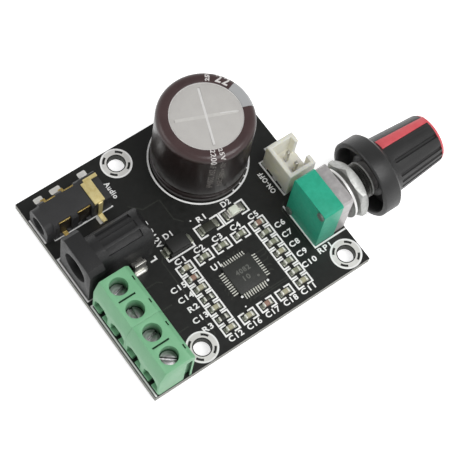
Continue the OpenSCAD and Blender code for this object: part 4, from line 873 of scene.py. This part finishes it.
for side in range(4):
    for lead in range(copper["leads"]):
        offset = (lead - (copper["leads"] - 1) / 2) * copper["leadPitch"]
        lean = math.copysign(copper["jog"], offset)
        start, reach = chipHalf + copper["landStart"], chipHalf + copper["landEnd"]
        leadPads.append(besideChip([(start, offset), (reach, offset)], side))
        if lead % 2:
            fan = copper["fanStart"] + copper["fanStep"] * lead
            bend = reach + (fan if side == 0 else copper["straight"])
            run = [(reach, offset), (bend, offset), (bend + copper["jog"], offset + lean)]
            tracks.append(besideChip(run, side))
tracks += [[(25.2, 5.5), (33.4, 5.5)], [(26.4, 5.05), (33.4, 5.05)],
    [(16.2, 20.9), (15.6, 20.3), (15.6, 4.0), (14.2, 2.6)], [(8.6, 17.6), (12.6, 17.6), (13.4, 16.9)],
    [(8.6, 12.6), (12.4, 12.6)], [(8.6, 7.6), (12.4, 7.6)], [(8.6, 2.6), (9.4, 2.6)],
    [(39.8, 9.4), (39.8, 16.5), (41.2, 17.9)], [(23.4, 24.6), (22.2, 26.0), (22.2, 30.5)],
    [(16.6, 32.6), (18.6, 30.6), (22.0, 30.6)]]
strokePiece("copperTracks", tracks, 0.004, maskOverCopper, copper["width"], 0.012)
strokePiece("leadPads", leadPads, 0.012, creamTin, copper["landWidth"], 0.05)

# Soldered pads: middle, length along X, length along Y, and the rise of each kind
pads = {
    "flat": 0.03, "wetted": 0.07, "heaped": 0.3,
    "audio": ((3.9, 42.5, 1.8, 1.15), (7.5, 42.5, 2.2, 1.15), (13.3, 42.5, 1.8, 1.15),
              (11.05, 33.2, 1.1, 1.7), (4.4, 33.55, 1.2, 1.2)),
    "powerSide": (11.25, 21.1, 3.4, 1.7),
    "smallPart": (0.62, 0.98), "smallPartOut": 0.92,
    "lampRow": 21.2, "lampAt": (26.5, 32.2), "lampPart": (0.75, 1.7), "lampOut": 1.72,
    "diodeAt": 19.6, "diodePart": (1.0, 1.8), "diodeOut": 2.65,
}
# Pads as low pillows, full in the middle and thin at the rim: shares of length, width and rise, two levels
pillow = ((0.93, 0.9, 0.7), (0.6, 0.55, 1.0))


def padMesh(name, places, rise, finish, roundness=0.25):
    form = bmesh.new()
    for x, y, length, width in places:
        corner = min(length, width) * roundness
        outline = []
        for sx, sy, start in ((1, 1, 0), (-1, 1, 90), (-1, -1, 180), (1, -1, 270)):
            cx, cy = x + sx * (length / 2 - corner), y + sy * (width / 2 - corner)
            outline += arcPath((cx, cy), corner, start, start + 90, 5)
        low = [form.verts.new(onBoard(px, py, -0.005)) for px, py in outline]
        mid, high = ([form.verts.new(onBoard(x + (px - x) * alongX, y + (py - y) * alongY, rise * share))
            for px, py in outline] for alongX, alongY, share in pillow)
        count = len(outline)
        for a, b in ((low, mid), (mid, high)):
            for i in range(count):
                form.faces.new((a[i], a[(i + 1) % count], b[(i + 1) % count], b[i]))
        form.faces.new(high)
        form.faces.new(list(reversed(low)))
    bmesh.ops.recalc_face_normals(form, faces=form.faces)
    return meshFrom(form, name, [finish], 60)


newPiece("socketPads", padMesh("socketPads", pads["audio"], pads["flat"], levelledTin))
newPiece("powerLand", padMesh("powerLand", [pads["powerSide"]], pads["heaped"], solder, 0.5))
partPads = [(x + side * pads["smallPartOut"], y, *pads["smallPart"]) for x, y in gridPlaces()
    for side in (-1, 1)]
partPads += [(x + side * pads["lampOut"], pads["lampRow"], *pads["lampPart"]) for x in pads["lampAt"]
    for side in (-1, 1)]
partPads += [(pads["diodeAt"] + side * pads["diodeOut"], pads["lampRow"], *pads["diodePart"])
    for side in (-1, 1)]
newPiece("partPads", padMesh("partPads", partPads, pads["wetted"], dullSolder))

# Solder drawn up the ends of the small parts
fillet = {"out": 0.84, "length": 0.42, "width": 0.86, "height": 0.62}
spots = [onBoard(x + side * fillet["out"], y, 0.04) for x, y in gridPlaces() for side in (-1, 1)]
mesh = treeMesh("partFillets", beadTree, pointMesh("filletPoints", spots), dullSolder,
    {"Length": fillet["length"] * mm, "Width": fillet["width"] * mm, "Height": fillet["height"] * mm},
    smooth=True)
newPiece("partFillets", mesh)

# Solder cones round the cut tails under the board: places, pad radius and pin radius
tails = {
    "capacitor": (((33.1, 29.85), (33.1, 37.35)), 1.3, 0.42),
    "terminal": (tuple((3.9, y) for y in (2.6, 7.6, 12.6, 17.6)), 1.4, 0.52),
    "control": (tuple((42.1, y) for y in (9.45, 11.95, 14.45)), 1.0, 0.44),
    "header": (((45.65, 21.15), (45.65, 23.65)), 0.95, 0.4),
    "power": (((13.8, 25.85), (8.25, 25.85), (11.25, 21.1)), 1.9, 1.2),
}
coneHeight = 1.05
below = -(boardHigh.z - boardLow.z) / mm
for name, (places, padRadius, pinRadius) in tails.items():
    spots = [onBoard(x, y, below + 0.002) for x, y in places]
    mesh = treeMesh(name + "Solder", coneTree, pointMesh(name + "Points", spots), solder,
        {"Pad Radius": padRadius * mm, "Pin Radius": pinRadius * mm, "Height": coneHeight * mm}, smooth=True)
    newPiece(name + "Solder", mesh)
print("copper and solder ready")

# Vent lines scored into the can's end, with the rim that the sleeve leaves bare, both drawn bright as painted
# highlights
ventLook = {"turns": (68.7, -22.4), "reach": 5.7, "width": 0.42, "faint": 0.62, "edge": 0.2, "rim": 6.66,
    "rimWidth": 0.16, "depth": 0.03, "rimDepth": 0.1}
canTop = (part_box("capacitor_can")[1].z - boardHigh.z) / mm
middle = legend["capMiddle"]
first, second = ventLook["turns"]
reach, depth = ventLook["reach"], ventLook["depth"]
# The second score is shallow: a band painted pale as its sheen, with a painted highlight on one edge at its
# far end
scores = (
    ("ventLines", ((first, reach), (first, -reach)), 0.012, scoredAluminiumHighlight, "width"),
    ("ventBand", ((second, -reach), (second, reach)), 0.004, paleAluminium, "faint"),
    ("ventEdge", ((second + 4, reach * 0.45), (second + 1.5, reach * 0.8), (second, reach + 0.2)), 0.012,
        scoredAluminiumHighlight, "edge"),
)
for name, ends, rise, finish, width in scores:
    line = [arcPath(middle, out, turn, turn, 1)[0] for turn, out in ends]
    strokePiece(name, [line], canTop + rise, finish, ventLook[width], depth)
line = arcPath(middle, ventLook["rim"], 0, 360, 96)
strokePiece("canRim", [line], canTop + 0.03, scoredAluminiumHighlight, ventLook["rimWidth"], ventLook["rimDepth"])

# Plain ratings stamped on the film: from the top ring over the shoulder and down the side, and round the ring
stamps = {
    "side": (("2200uF 25V 2200uF", -117.0, 1.1), ("25V -25 +105C 25V", -105.5, 0.95)),
    "from": -0.95, "length": 12.4, "sideBold": 0.03, "ringBold": 0.06,
    "ring": (("22", 33.0, 7.8, 1.75, 0), ("25V", 53.0, 7.9, 0.8, 90)),
    "stand": 0.011,
}
sleeveLow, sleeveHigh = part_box("capacitor_sleeve")
hub = (sleeveLow + sleeveHigh) / 2
filmRadius = (sleeveHigh.x - sleeveLow.x) / 2
filmTop = sleeveHigh.z - inkRoom
bend = sleeveLook["shoulder"] * mm


# Lays a mark's point on the film: an angle about the can, and a way along it from the start of the shoulder
def ontoFilm(v, angle, way):
    lift = stamps["stand"] * mm + v.co.z
    out, level = filmRadius - bend + way, filmTop + lift
    if way >= 0:
        turn = min(way / bend, math.pi / 2)
        down = max(way - bend * math.pi / 2, 0.0)
        out = filmRadius - bend + (bend + lift) * math.sin(turn)
        level = filmTop - bend + (bend + lift) * math.cos(turn) - down
    v.co = (hub.x + out * math.cos(angle), hub.y + out * math.sin(angle), level)


form = bmesh.new()
for text, turn, size in stamps["side"]:
    flat = wordMesh(text, size, stamps["length"], stamps["sideBold"])
    start = min(v.co.x for v in flat.vertices)
    for v in flat.vertices:
        ontoFilm(v, math.radians(turn) + v.co.y / filmRadius, v.co.x - start + stamps["from"] * mm)
    form.from_mesh(flat)
for text, turn, radius, size, lean in stamps["ring"]:
    flat = wordMesh(text, size, None, stamps["ringBold"])
    flat.transform(Matrix.Rotation(math.radians(lean), 4, "Z"))
    for v in flat.vertices:
        ontoFilm(v, math.radians(turn) - v.co.x / (radius * mm), radius * mm + v.co.y - filmRadius + bend)
    form.from_mesh(flat)
mesh = meshFrom(form, "sleeveStamp", [stampInk, topRingInk])
for face in mesh.polygons:
    face.material_index = int(face.center.z > sleeveHigh.z - bend)
newPiece("sleeveStamp", mesh)
print("capacitor marks ready")

# Thread past the nut, as fine rolled ridges in painted shade
hubPoints = [v.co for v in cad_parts["knob_body"].data.vertices
    if math.hypot(v.co.y - axis.y, v.co.z - axis.z) < threadLook["hubReach"] * mm]
hubStart = min(p.x for p in hubPoints)
threadEnd = min(hubStart - threadLook["hubGap"] * mm, bushHigh.x + threadLook["past"] * mm)
threadStart = nutLow.x
threadLength = threadEnd - threadLook["chamfer"] * mm - threadStart
mesh = treeMesh("bushingThread", threadTree, pointMesh("threadStart", [(0, 0, 0)]), shadedThreadZinc, {
    "Turns": threadLength / (threadLook["pitch"] * mm), "Radius": threadLook["radius"] * mm,
    "Length": threadLength, "Ridge": threadLook["ridge"] * mm})
upOnX = Matrix.Rotation(math.radians(90), 4, "Y")
mesh.transform(Matrix.Translation((threadStart, axis.y, axis.z)) @ upOnX)
newPiece("bushingThread", mesh)


# A turned form about the shaft's axis, from a closed profile of x in metres and radius in mm
def turnedMesh(name, profile, finish, steps=72):
    form = bmesh.new()
    loops = []
    for x, radius in profile:
        circle = arcPath((axis.y, axis.z), radius * mm, 0, 360, steps)[:-1]
        loops.append([form.verts.new((x, y, z)) for y, z in circle])
    joinRings(form, loops)
    return meshFrom(form, name, [finish], 30)


# Core under the thread, in the thread's painted shade, and the chamfer that the lathe leaves at its end,
# painted white as its highlight
end, cut = threadEnd, threadLook["chamfer"] * mm
bore, core, crest = threadLook["bore"], threadLook["core"], threadLook["crest"]
profile = [(bushHigh.x - cut, bore), (bushHigh.x - cut, core), (end - cut, core), (end - cut, bore)]
newPiece("threadCore", turnedMesh("threadCore", profile, shadedThreadZinc))
profile = [(end - cut, bore), (end - cut, crest), (end - cut / 3, crest), (end, threadLook["crestEnd"]),
    (end, bore)]
newPiece("bushingChamfer", turnedMesh("bushingChamfer", profile, polishedRimHighlight))
print("thread ready")

low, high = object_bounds()
